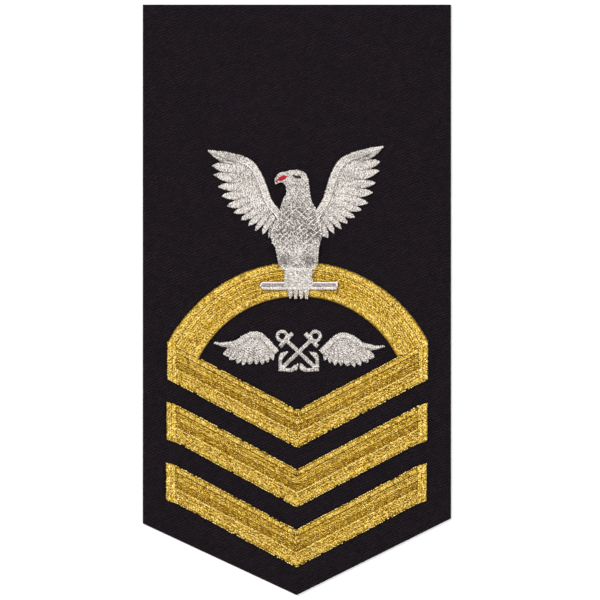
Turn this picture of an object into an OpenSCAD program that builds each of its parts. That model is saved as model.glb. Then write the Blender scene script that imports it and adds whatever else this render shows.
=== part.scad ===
// Sleeve rank badge: a pointed cloth panel with three chevrons, an arc, an eagle on a perch bar
// and a winged pair of crossed anchors, all as raised embroidery.
// The back of the cloth lies at z = 0, the top of the badge points to +Y and the origin is the
// middle of the panel. Each embroidered piece floats a seat_gap above what it is sewn on.

/* [Cloth] */
// Width of the cloth panel
cloth_w = 97.4; // [92:0.1:130]
// Length of the cloth from its top edge to its point
cloth_l = 187.3; // [170:0.1:240]
// Depth of the pointed lower end
point_h = 23.6; // [16:0.1:32]
// Thickness of the cloth with its stiff backing
cloth_t = 1.2; // [1:0.1:3]

/* [Chevrons] */
// Width across each chevron
chevron_w = 82.6; // [70:0.1:90]
// Width of a chevron's arm, measured square to the arm
chevron_band = 10.5; // [8:0.1:12]
// Angle between a chevron's arm and the horizontal
chevron_angle = 27.6; // [22:0.1:33]
// Distance from one chevron to the next
chevron_pitch = 19; // [16:0.1:21]
// Distance from the cloth's point up to the lowest chevron's point
tip_margin = 8.6; // [5:0.1:14]
// Width of the border along the upper and lower edges of a chevron
chevron_rim = 1.8; // [1:0.1:2.5]
// Width of the border at the ends of a chevron
chevron_end_rim = 2.9; // [1.5:0.1:4]
// Radius that rounds the point of a chevron
chevron_round = 1.2; // [0.4:0.1:3]

/* [Arc] */
// Height of the arc's crest above the upper corners of the top chevron
arc_rise = 25.4; // [21:0.1:31]
// Width of the arc's band
arc_band = 10.8; // [8:0.1:12]
// Width of the arc's outer and inner borders
arc_rim = 2.2; // [1.2:0.1:3]

/* [Eagle] */
// How far the eagle and the emblem sit to the right of the badge's middle
motif_x = 0.4; // [-1:0.1:1]
// Height of the eagle from the middle of its perch to its crown
eagle_h = 36.8; // [30:0.1:44]
// Width of the eagle's breast
breast_w = 16.5; // [13:0.1:20]
// How far a wing reaches out from the shoulder
wing_reach = 22.5; // [18:0.1:27]
// How far a wing rises above the shoulder
wing_rise = 18.9; // [15:0.1:23]
// Extra turn that lifts the tip of the wing on the right
wing_turn = 3.5; // [0:0.5:8]
// Width of the raised band along the front of a wing
wing_band = 2.1; // [1.2:0.1:3]
// Distance of the perch bar's middle below the arc's crest
perch_drop = 7.4; // [6.4:0.1:8]
// Length of the perch bar
perch_l = 24.4; // [20:0.1:30]
// Height of the perch bar, seen from the front
perch_h = 2.7; // [2:0.1:3.2]
// Height of the perch bar's raised lower row
perch_row_h = 1.1; // [0.6:0.1:1.6]
// How far the tips of the tail reach past the arc's inner edge
tail_overhang = 0.7; // [0.4:0.1:2]

/* [Emblem] */
// Height of the anchors' crossing above the notch of the top chevron
emblem_rise = 18.4; // [16:0.1:21]
// Length of an anchor from its crown to the middle of its ring
anchor_l = 16.3; // [13:0.1:18]
// Turn of each anchor away from the vertical
anchor_turn = 46.5; // [40:0.5:50]
// Width of an anchor's shank
shank_w = 1.3; // [0.8:0.1:1.6]
// Length of an anchor's stock
stock_l = 6; // [4.5:0.1:7]
// Width of an anchor's stock
stock_w = 1.4; // [0.9:0.1:1.8]
// Outer radius of an anchor's ring
ring_r = 2.05; // [1.8:0.05:2.4]
// Radius of the hole in an anchor's ring
ring_hole_r = 0.95; // [0.6:0.05:1.2]
// Gap between the inner flukes of the two anchors
fluke_gap = 0.5; // [0.3:0.1:1.2]
// Gap between the tip of a winglet and the arc
winglet_clear = 1.7; // [0.8:0.1:4]
// Height of a winglet's root above the anchors' crossing
winglet_raise = 0.7; // [0:0.1:2]
// Height of a winglet over all
winglet_h = 11; // [8:0.1:13]
// Turn that lowers the tip of each winglet, left and right in opposite directions
winglet_tilt = 1.5; // [0:0.5:4]
// Width of the raised band along the front of a winglet
winglet_band = 1.4; // [0.8:0.1:2]

/* [Relief] */
// Height of the filled gold bands over the cloth
field_relief = 0.6; // [0.4:0.05:1]
// Height of the padded gold borders over the cloth
rim_relief = 0.75; // [0.5:0.05:1.2]
// Height of the wings and winglets over the cloth
feather_relief = 0.65; // [0.4:0.05:1]
// Height of the raised bands in front of the wings and winglets
band_relief = 0.9; // [0.6:0.05:1.3]
// Height of the eagle's breast and head over the cloth
breast_relief = 1.3; // [1.25:0.05:1.8]
// Thickness of the tail and of the perch bar where they lie on the arc
perch_relief = 0.5; // [0.3:0.05:0.8]
// Thickness of the perch bar's raised lower row
row_relief = 0.35; // [0.2:0.05:0.6]
// Height of the anchors over the cloth
anchor_relief = 0.6; // [0.4:0.05:1]
// Thickness of the upper anchor's shank where it crosses the lower one
crossing_relief = 0.3; // [0.2:0.05:0.6]
// Thickness of the beak's and the eye's stitches
detail_relief = 0.25; // [0.15:0.05:0.5]

/* [Gaps] */
// Gap under each embroidered piece
seat_gap = 0.05; // [0.03:0.01:0.1]
// Gap between embroidered pieces that lie side by side
side_gap = 0.12; // [0.08:0.01:0.2]

/* [Hidden] */
$fn = 96;

CLOTH = "#201a20";
GOLD = "#c8a04a";
SILVER = "#c4c0be";
PERCH = "#aaa4b4";
RED = "#d01830";
BLACK = "#1c1a1c";

LEFT = -1;
RIGHT = 1;

// Levels
sew_z = cloth_t + seat_gap;
arc_top = cloth_t + max(field_relief, rim_relief);
over_arc = arc_top + seat_gap;
perch_top = over_arc + perch_relief;

// Chevrons and arc
slope = tan(chevron_angle);
chevron_drop = chevron_band / cos(chevron_angle);
lower_notch = -cloth_l / 2 + tip_margin + chevron_drop;
middle_notch = lower_notch + chevron_pitch;
upper_notch = middle_notch + chevron_pitch;
arc_chord = chevron_w / 2;
arc_foot = upper_notch + arc_chord * slope;
arc_r = (arc_rise * arc_rise + arc_chord * arc_chord) / (2 * arc_rise);
arc_y = arc_foot + arc_rise - arc_r;
arc_in_r = arc_r - arc_band;

// Eagle and emblem
perch_y = arc_foot + arc_rise - perch_drop;
tail_foot = arc_y + arc_in_r - perch_y - tail_overhang;
emblem_y = upper_notch + emblem_rise;
winglet_y = emblem_y + winglet_raise;
// Along an anchor from its crown: the crossing and the stock, as shares of anchor_l
crossing_share = 0.55;
stock_share = 0.89;
crown_y = -crossing_share * anchor_l;
ring_y = crown_y + anchor_l;
stock_y = crown_y + stock_share * anchor_l;
winglet_root = -crown_y * sin(anchor_turn);

// Breast, from the neck down: height as a share of eagle_h above the perch, then the left and
// the right side as shares of breast_w
HEIGHT = 0;
LEFT_SIDE = 1;
RIGHT_SIDE = 2;
BREAST = [
    [0.70, -0.33, 0.285],
    [0.65, -0.365, 0.34],
    [0.58, -0.42, 0.41],
    [0.49, -0.515, 0.44],
    [0.425, -0.535, 0.445],
    [0.385, -0.505, 0.415],
    [0.33, -0.445, 0.39],
    [0.255, -0.41, 0.375],
    [0.195, -0.385, 0.37],
    [0.16, -0.34, 0.315],
];
SHOULDER_ROW = 1;
HIP_ROW = 4;
// Lower edge of the thighs, left to right: shares of breast_w and eagle_h
THIGHS = [[-0.25, 0.142], [-0.15, 0.155], [-0.02, 0.147], [0.12, 0.155], [0.24, 0.142]];
// Points of the neckline between the breast's upper corners, as shares of breast_w and eagle_h
NECKLINE = [[-0.02, 0.675]];

// Head from the throat over the beak and the crown to the nape: shares of breast_w and eagle_h
HEAD = [
    [-0.285, 0.755], [-0.24, 0.79], [-0.228, 0.83], [-0.243, 0.87], [-0.29, 0.894],
    [-0.37, 0.893], [-0.435, 0.878], [-0.448, 0.92], [-0.405, 0.957], [-0.33, 0.98],
    [-0.20, 0.993], [-0.03, 1], [0.07, 0.989], [0.15, 0.965], [0.19, 0.93],
    [0.205, 0.87], [0.235, 0.765],
];
BEAK = [
    [-0.405, 0.908], [-0.385, 0.935], [-0.325, 0.951], [-0.225, 0.943], [-0.285, 0.916], [-0.35, 0.902],
];
EYE = [
    [-0.10, 0.953], [-0.045, 0.945], [0.045, 0.945], [0.05, 0.931], [-0.03, 0.925], [-0.075, 0.935],
];

// Right side of the tail from the thighs to the root of its tips: shares of breast_w and eagle_h
TAIL = [[0.273, 0.115], [0.26, 0.075], [0.279, 0.036], [0.292, 0.006], [0.25, -0.02], [0.21, -0.038]];
// One tip of the tail: shares of its width, and of its length from root to foot
TAIL_TIPS = 4;
TAIL_TIP = [[0.05, 0], [0.3, 1], [0.7, 1], [0.95, 0]];

// Front edge of a wing from its tip to the shoulder: shares of wing_reach and wing_rise
WING_FRONT = [[1, 1], [0.76, 0.975], [0.485, 0.89], [0.33, 0.76], [0.205, 0.485], [0.12, 0.2], [0, 0]];
// A row for each feather below the wing's tip: the notch above the feather and the feather's tip,
// outward and up from the shoulder, as shares of wing_reach and wing_rise
NOTCH_OUT = 0;
NOTCH_UP = 1;
TIP_OUT = 2;
TIP_UP = 3;
WING_FEATHERS = [
    [0.83, 0.81, 0.95, 0.75],
    [0.815, 0.64, 0.93, 0.60],
    [0.73, 0.465, 0.87, 0.40],
    [0.695, 0.315, 0.82, 0.24],
    [0.64, 0.165, 0.74, 0.07],
    [0.595, 0.025, 0.645, -0.045],
    [0.49, -0.065, 0.545, -0.165],
    [0.41, -0.155, 0.435, -0.26],
    [0.315, -0.21, 0.34, -0.35],
    [0.225, -0.245, 0.235, -0.415],
    [0.14, -0.30, 0.15, -0.475],
];

// Winglet, in the same way, as shares of its length and of winglet_h
WINGLET_FRONT = [
    [1, 0.18], [0.88, 0.165], [0.78, 0.20], [0.66, 0.26], [0.58, 0.37], [0.47, 0.48],
    [0.36, 0.52], [0.245, 0.455], [0.10, 0.19], [0, 0],
];
WINGLET_FEATHERS = [
    [0.80, 0.02, 0.862, -0.145],
    [0.773, -0.24, 0.758, -0.31],
    [0.665, -0.30, 0.642, -0.41],
    [0.57, -0.34, 0.554, -0.465],
    [0.49, -0.37, 0.44, -0.435],
    [0.38, -0.345, 0.34, -0.43],
    [0.29, -0.33, 0.246, -0.425],
    [0.20, -0.32, 0.158, -0.36],
    [0.125, -0.23, 0.07, -0.29],
];
winglet_tip_y = winglet_y + winglet_h * WINGLET_FRONT[0][1];
winglet_chord = sqrt(pow(arc_in_r, 2) - pow(winglet_tip_y - arc_y, 2));
winglet_l = winglet_chord - winglet_clear - abs(motif_x) - winglet_root;

// Outer half of an anchor's arm, from the crown over the fluke and back to the shank: sideways
// and up from the crown, as shares of anchor_l
ARM = [
    [0, 0], [0.195, 0.19], [0.237, 0.284], [0.145, 0.412], [0.126, 0.294],
    [0.117, 0.214], [0, 0.1],
];

// Curves

// A point of the smooth curve that runs through b and c
function curve_point(a, b, c, d, t) =
    let (bend = 2 * a - 5 * b + 4 * c - d, twist = 3 * b - a - 3 * c + d)
    b + (c - a) * t / 2 + bend * t * t / 2 + twist * t * t * t / 2;

// A smooth open curve through the points, with a few steps between each two
function curve(points, steps = 4) =
    let (last = len(points) - 1)
    [
        for (i = [0:last - 1], k = [0:steps - 1])
            let (before = points[max(i - 1, 0)], after = points[min(i + 2, last)])
            curve_point(before, points[i], points[i + 1], after, k / steps),
        points[last],
    ];

// A curve moved sideways by a width at each point, to the left of its run
function beside(points, widths) =
    let (last = len(points) - 1)
    [
        for (i = [0:last])
            let (run = points[min(i + 1, last)] - points[max(i - 1, 0)])
            points[i] + widths[i] * [-run[1], run[0]] / norm(run)
    ];

// The middle of an edge, pushed out by a share of its length so that a feather has a full side
function full_side(a, b, share) = (a + b) / 2 + share * [a[1] - b[1], b[0] - a[0]];

function reversed(points) = [for (i = [len(points) - 1:-1:0]) points[i]];
function mirrored(points) = [for (p = points) [-p[0], p[1]]];
function without_last(points) = [for (i = [0:len(points) - 2]) points[i]];
function scaled(points, size) = [for (p = points) [p[0] * size[0], p[1] * size[1]]];
function turned(p, angle) = [p[0] * cos(angle) - p[1] * sin(angle), p[0] * sin(angle) + p[1] * cos(angle)];

// Pieces of the eagle are drawn from the middle of its perch
eagle_size = [breast_w, eagle_h];
function breast_side(row, side) =
    [BREAST[row][side == LEFT ? LEFT_SIDE : RIGHT_SIDE] * breast_w, BREAST[row][HEIGHT] * eagle_h];
// The breast's side below the shoulder, with a few steps to each row of the table
BREAST_STEPS = 3;
function breast_curve(side) =
    curve([for (row = [SHOULDER_ROW:len(BREAST) - 1]) breast_side(row, side)], BREAST_STEPS);
NECK_ROW = 0;
neckline = curve(
    concat([breast_side(NECK_ROW, LEFT)], scaled(NECKLINE, eagle_size), [breast_side(NECK_ROW, RIGHT)])
);

// Feathered shapes run outward and up from their root, so both sides share one table
// Height of the bulge of a feather's lower side, as a share of that side
full_share = 0.09;
// Steps from the tip over which a front band grows to its full width
WING_TAPER_STEPS = 5;
WINGLET_TAPER_STEPS = 12;
function front_curve(front, size) = curve(scaled(front, size));
function band_widths(points, width, taper_steps) =
    [for (i = [0:len(points) - 1]) width * min(1, i / taper_steps)];
function feather_notch(row, size) = [row[NOTCH_OUT] * size[0], row[NOTCH_UP] * size[1]];
function feather_tip(row, size) = [row[TIP_OUT] * size[0], row[TIP_UP] * size[1]];
// The saw edge from the feather nearest the body out to the wing's tip
function feather_edge(wing_tip, rows, size) =
    [
        for (i = [len(rows) - 1:-1:0])
            let (
                notch = feather_notch(rows[i], size),
                tip = feather_tip(rows[i], size),
                tip_above = i == 0 ? wing_tip : feather_tip(rows[i - 1], size)
            )
            each [
                tip, full_side(notch, tip, full_share),
                notch, full_side(tip_above, notch, full_share / 2),
            ],
    ];

// Chevron shapes

// An edge shaped like a V with a rounded point, from left to right
function v_edge(point_y, half) =
    let (centre_y = point_y + chevron_round / cos(chevron_angle))
    [
        [-half, point_y + half * slope],
        for (turn = [-1:0.25:1])
            let (a = turn * chevron_angle)
            [chevron_round * sin(a), centre_y - chevron_round * cos(a)],
        [half, point_y + half * slope],
    ];

module chevron_shape(notch, rim = 0, end_rim = 0) {
    inset = rim / cos(chevron_angle);
    half = chevron_w / 2 - end_rim;
    polygon(concat(v_edge(notch - inset, half), reversed(v_edge(notch - chevron_drop + inset, half))));
}

module chevron_border(notch) {
    color(GOLD)
        translate([0, 0, sew_z])
            linear_extrude(rim_relief - seat_gap)
                difference() {
                    chevron_shape(notch);
                    chevron_shape(notch, chevron_rim, chevron_end_rim);
                }
}

module chevron_field(notch) {
    color(GOLD)
        translate([0, 0, sew_z])
            linear_extrude(field_relief - seat_gap)
                chevron_shape(notch, chevron_rim + side_gap, chevron_end_rim + side_gap);
}

// Arc shapes

module above_top_chevron() {
    foot = upper_notch + side_gap / cos(chevron_angle);
    side = foot + arc_r * slope;
    top = arc_y + 2 * arc_r;
    polygon([[0, foot], [arc_r, side], [arc_r, top], [-arc_r, top], [-arc_r, side]]);
}

module arc_strip(inner_r, outer_r, relief) {
    color(GOLD)
        translate([0, 0, sew_z])
            linear_extrude(relief - seat_gap)
                intersection() {
                    translate([0, arc_y])
                        difference() {
                            circle(outer_r);
                            circle(inner_r);
                        }
                    above_top_chevron();
                }
}

// The room that the arc takes, for pieces that are sewn across it
module arc_room() {
    translate([0, arc_y, 0])
        difference() {
            cylinder(h = over_arc, r = arc_r + side_gap);
            translate([0, 0, -1])
                cylinder(h = over_arc + 2, r = arc_in_r - side_gap);
        }
}

// Sub-parts

module backing_cloth() {
    half = cloth_w / 2;
    top = cloth_l / 2;
    corner = point_h - top;
    color(CLOTH)
        linear_extrude(cloth_t)
            polygon([[-half, top], [half, top], [half, corner], [0, -top], [-half, corner]]);
}

module chevron_lower_border() { chevron_border(lower_notch); }
module chevron_lower_field() { chevron_field(lower_notch); }
module chevron_middle_border() { chevron_border(middle_notch); }
module chevron_middle_field() { chevron_field(middle_notch); }
module chevron_upper_border() { chevron_border(upper_notch); }
module chevron_upper_field() { chevron_field(upper_notch); }

module arc_outer_border() { arc_strip(arc_r - arc_rim, arc_r, rim_relief); }
module arc_inner_border() { arc_strip(arc_in_r, arc_in_r + arc_rim, rim_relief); }
module arc_field() {
    inset = arc_rim + side_gap;
    arc_strip(arc_in_r + inset, arc_r - inset, field_relief);
}

// Places a feathered shape's own points on one side of the badge
function placed(points, root, side, angle) =
    [for (p = points) let (q = turned(p, angle)) [root[0] + side * q[0], root[1] + q[1]]];

module sewn(points, relief) {
    translate([0, 0, sew_z])
        linear_extrude(relief - seat_gap)
            polygon(points);
}

wing_size = [wing_reach, wing_rise];
wing_front = front_curve(WING_FRONT, wing_size);
wing_widths = band_widths(wing_front, wing_band, WING_TAPER_STEPS);
function on_wing(points, side) =
    let (root = breast_side(SHOULDER_ROW, side) + [side * side_gap, 0])
    placed(points, root, side, side == RIGHT ? wing_turn : 0);

// The breast's side between two steps, moved outward by the gap that a wing keeps from it
function beside_breast(side, first, last) =
    [for (i = [first:last]) breast_curve(side)[i] + [side * side_gap, 0]];
// The front band ends, and the feathers begin, at these steps down the breast's side
BAND_END = 2;
FEATHER_START = 3;
FEATHER_END = BREAST_STEPS * (HIP_ROW - SHOULDER_ROW);

module wing_field(side) {
    inner_front = beside(wing_front, [for (w = wing_widths) w + side_gap]);
    color(SILVER)
        translate([motif_x, perch_y, 0])
            sewn(
                concat(
                    on_wing(without_last(inner_front), side),
                    beside_breast(side, FEATHER_START, FEATHER_END),
                    on_wing(feather_edge(wing_front[0], WING_FEATHERS, wing_size), side)
                ),
                feather_relief
            );
}

module wing_edge(side) {
    inner_front = beside(wing_front, wing_widths);
    color(SILVER)
        translate([motif_x, perch_y, 0])
            sewn(
                concat(
                    on_wing(wing_front, side),
                    beside_breast(side, BAND_END, BAND_END),
                    on_wing(reversed(without_last(inner_front)), side)
                ),
                band_relief
            );
}

module wing_left() { wing_field(LEFT); }
module wing_left_edge() { wing_edge(LEFT); }
module wing_right() { wing_field(RIGHT); }
module wing_right_edge() { wing_edge(RIGHT); }

module eagle_body() {
    outline = concat(
        [for (p = neckline) p - [0, side_gap]],
        breast_curve(RIGHT),
        reversed(scaled(THIGHS, eagle_size)),
        reversed(breast_curve(LEFT))
    );
    color(SILVER)
        difference() {
            translate([motif_x, perch_y, 0])
                sewn(outline, breast_relief);
            arc_room();
        }
}

module eagle_head() {
    color(SILVER)
        translate([motif_x, perch_y, 0])
            sewn(concat(curve(scaled(HEAD, eagle_size), 3), reversed(neckline)), breast_relief);
}

module eagle_tail() {
    side = curve(scaled(TAIL, eagle_size), 3);
    root_half = side[len(side) - 1][0];
    root_y = side[len(side) - 1][1];
    tip_w = 2 * root_half / TAIL_TIPS;
    thigh_line = [for (p = scaled(THIGHS, eagle_size)) p - [0, side_gap]];
    tips = [
        for (i = [0:TAIL_TIPS - 1], p = TAIL_TIP)
            [root_half - (i + p[0]) * tip_w, root_y + p[1] * (tail_foot - root_y)]
    ];
    outline = concat(thigh_line, side, tips, mirrored(reversed(side)));
    color(SILVER)
        difference() {
            translate([motif_x, perch_y, 0])
                sewn(outline, perch_top - seat_gap - cloth_t);
            arc_room();
        }
}

// The bar seen from the front, with its left end rounded
module perch_outline() {
    translate([(perch_h - perch_l) / 2, 0])
        circle(d = perch_h);
    translate([perch_h / 4, 0])
        square([perch_l - perch_h / 2, perch_h], center = true);
}

// Lies on both sides of the tail, and its lower row crosses over the tail
module perch_bar() {
    tail_w = 2 * max([for (p = TAIL) p[0]]) * breast_w;
    color(PERCH)
        translate([motif_x, perch_y, over_arc]) {
            linear_extrude(perch_relief)
                difference() {
                    perch_outline();
                    square([tail_w + 2 * side_gap, 2 * perch_h], center = true);
                }
            translate([0, 0, perch_relief])
                linear_extrude(row_relief)
                    intersection() {
                        perch_outline();
                        translate([0, (perch_row_h - perch_h) / 2])
                            square([perch_l, perch_row_h], center = true);
                    }
        }
}

module on_head(points) {
    translate([motif_x, perch_y, cloth_t + breast_relief + seat_gap])
        linear_extrude(detail_relief)
            polygon(scaled(points, eagle_size));
}

module beak() { color(RED) on_head(BEAK); }
module eye() { color(BLACK) on_head(EYE); }

winglet_size = [winglet_l, winglet_h];
winglet_front = front_curve(WINGLET_FRONT, winglet_size);
winglet_widths = band_widths(winglet_front, winglet_band, WINGLET_TAPER_STEPS);
function on_winglet(points, side) = placed(points, [side * winglet_root, 0], side, -side * winglet_tilt);

module winglet_field(side) {
    inner_front = beside(winglet_front, [for (w = winglet_widths) w + side_gap]);
    feathers = feather_edge(winglet_front[0], WINGLET_FEATHERS, winglet_size);
    color(SILVER)
        translate([motif_x, winglet_y, 0])
            sewn(on_winglet(concat(inner_front, feathers), side), feather_relief);
}

module winglet_edge(side) {
    band = concat(winglet_front, reversed(beside(winglet_front, winglet_widths)));
    color(SILVER)
        translate([motif_x, winglet_y, 0])
            sewn(on_winglet(band, side), band_relief);
}

module winglet_left() { winglet_field(LEFT); }
module winglet_left_edge() { winglet_edge(LEFT); }
module winglet_right() { winglet_field(RIGHT); }
module winglet_right_edge() { winglet_edge(RIGHT); }

// The arms and flukes of an anchor, cut off where they would meet the other anchor's
module anchor_arms(side) {
    arms = [for (p = ARM) [p[0] * anchor_l, crown_y + p[1] * anchor_l]];
    difference() {
        rotate(-side * anchor_turn)
            polygon(concat(arms, mirrored(reversed(arms))));
        translate([side * (anchor_l - fluke_gap) / 2, 0])
            square([anchor_l, 3 * anchor_l], center = true);
    }
}

// An anchor seen from the front, with its ring on the given side and its shank through the origin
module anchor_plan(side) {
    rotate(-side * anchor_turn) {
        difference() {
            union() {
                translate([-shank_w / 2, crown_y + shank_w])
                    square([shank_w, anchor_l - shank_w]);
                translate([0, ring_y])
                    circle(ring_r);
            }
            translate([0, ring_y])
                circle(ring_hole_r);
        }
        translate([0, stock_y])
            square([stock_l, stock_w], center = true);
    }
    anchor_arms(side);
}

module anchor_right() {
    color(SILVER)
        translate([motif_x, emblem_y, sew_z])
            linear_extrude(anchor_relief - seat_gap)
                anchor_plan(RIGHT);
}

// Passes over the other anchor's shank in a low hump, twice as long as that shank is wide
module anchor_left() {
    room = anchor_relief + seat_gap;
    color(SILVER)
        translate([motif_x, emblem_y, cloth_t])
            difference() {
                translate([0, 0, seat_gap]) {
                    linear_extrude(anchor_relief - seat_gap)
                        anchor_plan(LEFT);
                    rotate(anchor_turn)
                        linear_extrude(anchor_relief + crossing_relief)
                            square([shank_w, 2 * shank_w], center = true);
                }
                rotate(-anchor_turn)
                    linear_extrude(2 * room, center = true)
                        square([shank_w + 2 * side_gap, 3 * shank_w], center = true);
            }
}

backing_cloth();
chevron_lower_border();
chevron_lower_field();
chevron_middle_border();
chevron_middle_field();
chevron_upper_border();
chevron_upper_field();
arc_outer_border();
arc_field();
arc_inner_border();
wing_left();
wing_left_edge();
wing_right();
wing_right_edge();
eagle_body();
eagle_head();
eagle_tail();
perch_bar();
beak();
eye();
winglet_left();
winglet_left_edge();
winglet_right();
winglet_right_edge();
anchor_left();
anchor_right();
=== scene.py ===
# %% [markdown]
# # A sleeve rank badge, sewn thread by thread
#
# The object is a dark wool panel that carries machine embroidery: three gold chevrons, a gold arc,
# a silver eagle and a small winged emblem. Up close such a badge is nothing but thread, so this
# lesson builds it that way. Every stitch is a small arched tube, and some hundreds of them make
# each of the larger pieces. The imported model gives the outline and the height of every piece, so
# nothing here has to be measured twice.

# %% Load the frame
import math

import bpy
import numpy as np
from mathutils.geometry import tessellate_polygon
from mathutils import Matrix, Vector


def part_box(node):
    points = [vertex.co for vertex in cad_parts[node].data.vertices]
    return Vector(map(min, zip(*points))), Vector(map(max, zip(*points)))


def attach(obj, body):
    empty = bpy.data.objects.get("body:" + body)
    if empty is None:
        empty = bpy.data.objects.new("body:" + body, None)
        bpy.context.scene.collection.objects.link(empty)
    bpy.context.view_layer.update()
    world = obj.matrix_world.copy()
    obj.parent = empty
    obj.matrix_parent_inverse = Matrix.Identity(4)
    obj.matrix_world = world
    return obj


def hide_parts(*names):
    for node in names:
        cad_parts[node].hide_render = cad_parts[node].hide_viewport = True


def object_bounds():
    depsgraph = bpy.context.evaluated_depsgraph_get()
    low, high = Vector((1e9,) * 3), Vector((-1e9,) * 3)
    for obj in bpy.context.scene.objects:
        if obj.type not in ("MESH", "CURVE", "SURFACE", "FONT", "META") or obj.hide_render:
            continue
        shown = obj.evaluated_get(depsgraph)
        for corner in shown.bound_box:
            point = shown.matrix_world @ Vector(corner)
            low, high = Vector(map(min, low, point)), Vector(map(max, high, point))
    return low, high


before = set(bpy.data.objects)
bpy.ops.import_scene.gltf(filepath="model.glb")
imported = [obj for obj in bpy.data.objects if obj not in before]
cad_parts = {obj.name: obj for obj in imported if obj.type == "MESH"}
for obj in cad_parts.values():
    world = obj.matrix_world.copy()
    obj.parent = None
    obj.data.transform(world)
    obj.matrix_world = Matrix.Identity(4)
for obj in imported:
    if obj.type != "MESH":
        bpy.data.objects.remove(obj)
cad_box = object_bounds()
MM = 0.001
rng = np.random.default_rng(11)
print("nodes:", len(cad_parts))

# %% [markdown]
# ## Camera
#
# A badge is photographed or scanned from straight above, which shows no perspective. A long lens
# far away does the same and still works when the camera is moved round the object. The view is
# 190 mm wide, which puts the panel where a flat scan of it would.

# %% Camera
VIEW_WIDTH = 190.14 * MM
VIEW_CENTRE = (0.87 * MM, -0.16 * MM)
LENS = 200
SENSOR = 36
FAR_LIMIT = 10

camera_data = bpy.data.cameras.new("camera")
camera_data.lens = LENS
camera_data.sensor_width = SENSOR
camera_data.clip_end = FAR_LIMIT
camera = bpy.data.objects.new("camera", camera_data)
camera.location = (*VIEW_CENTRE, VIEW_WIDTH * LENS / SENSOR + cad_box[1].z)
bpy.context.scene.collection.objects.link(camera)
bpy.context.scene.camera = camera
print("camera height:", round(camera.location.z, 3), "m")

# %% [markdown]
# ## Floor
#
# The badge lies on a plain pale table. A large plane does for it.

# %% Floor
FLOOR_SIZE = 3
FLOOR_COLOUR = (0.93, 0.93, 0.93, 1)
FLOOR_ROUGHNESS = 0.9

paint = bpy.data.materials.new("pale_floor")
paint.use_nodes = True
paint_shader = paint.node_tree.nodes["Principled BSDF"]
paint_shader.inputs["Base Color"].default_value = FLOOR_COLOUR
paint_shader.inputs["Roughness"].default_value = FLOOR_ROUGHNESS
bpy.ops.mesh.primitive_plane_add(size=FLOOR_SIZE)
floor = bpy.context.object
floor.name = "floor"
floor.data.materials.append(paint)
print("floor:", FLOOR_SIZE, "m wide")

# %% [markdown]
# ## Light
#
# Metallic thread looks like metal only if it has something bright and something dim to mirror. A
# bare white sky would make it flat, and one small lamp would make it harsh. Two broad softboxes
# from the upper left and the right, over a dim even sky, give every round thread a clear light
# side and keep the shadows soft.

# %% Sky and lamps
SKY = 0.62
LAMPS = {
    "key_light": {"at": (-0.75, 0.65, 1.15), "size": 0.55, "power": 19},
    "fill_light": {"at": (0.95, -0.25, 1.2), "size": 0.9, "power": 12},
}

world = bpy.data.worlds.new("studio")
world.use_nodes = True
world.node_tree.nodes["Background"].inputs["Color"].default_value = (1, 1, 1, 1)
world.node_tree.nodes["Background"].inputs["Strength"].default_value = SKY
bpy.context.scene.world = world
bpy.context.scene.view_settings.view_transform = "Standard"

for name, lamp in LAMPS.items():
    light = bpy.data.lights.new(name, "AREA")
    light.size = lamp["size"]
    light.energy = lamp["power"]
    holder = bpy.data.objects.new(name, light)
    holder.location = lamp["at"]
    holder.rotation_mode = "QUATERNION"
    holder.rotation_quaternion = (-holder.location).to_track_quat("-Z", "Y")
    bpy.context.scene.collection.objects.link(holder)
print("lights:", ", ".join(LAMPS))

# %% [markdown]
# ## Reading a piece's outline
#
# An embroiderer starts from a drawn outline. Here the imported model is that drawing: the upward
# faces of a node, seen from above, are its plan. An edge that only one of these faces uses lies on
# the outline, and following such edges from end to start gives closed loops. Each loop keeps the
# solid on its left, so the way inward is always a quarter turn to the left. The perch and the left
# anchor have steps in their tops, so their plans are drawn later, where they are sewn.

# %% Outlines of the nodes
DECIMALS = 6
UPWARD = 0.5
STEPPED = ("perch_bar", "anchor_left")


def outline(name):
    """The closed loops round a node's top face, as arrays of points, with the solid on the left."""
    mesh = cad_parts[name].data
    points = [(round(v.co.x, DECIMALS), round(v.co.y, DECIMALS)) for v in mesh.vertices]
    edges = set()
    for face in mesh.polygons:
        if face.normal.z < UPWARD:
            continue
        corners = [points[i] for i in face.vertices]
        for a, b in zip(corners, corners[1:] + corners[:1]):
            if (b, a) in edges:
                edges.remove((b, a))
            elif a != b:
                edges.add((a, b))
    following = dict(edges)
    loops = []
    while following:
        start, point = following.popitem()
        loop = [start]
        while point != start:
            loop.append(point)
            point = following.pop(point)
        loops.append(np.array(loop))
    return sorted(loops, key=len, reverse=True)


def level(name):
    """The heights of a node's bottom and top."""
    low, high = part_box(name)
    return low.z, high.z


OUTLINES = {name: outline(name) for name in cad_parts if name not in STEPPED}
print({name: [len(loop) for loop in loops] for name, loops in OUTLINES.items()})

# %% [markdown]
# ## Lines for the needle
#
# Filling a shape with thread always starts with lines: parallel ones for a plain filling, lines
# that fan out from a point for feathers and curved bands, and short ones square to an edge for a
# satin border. A set of lines is one array with a row (x0, y0, x1, y1) for each of them. Four small
# helpers measure and turn such rows, so that the steps below stay short.

# %% Measuring lines
def length_of(vectors):
    """The length of each vector (x, y)."""
    return np.hypot(vectors[..., 0], vectors[..., 1])


def unit(vectors):
    """The same directions with a length of one."""
    return vectors / length_of(vectors)[..., None]


def left_of(vectors):
    """The vectors after a quarter turn to the left."""
    return np.stack([-vectors[..., 1], vectors[..., 0]], axis=-1)


def middle_of(lines):
    """The point halfway along each line."""
    return (lines[:, :2] + lines[:, 2:]) / 2


print("a quarter turn to the left of (1, 0) is", left_of(np.array([1.0, 0.0])))

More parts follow.
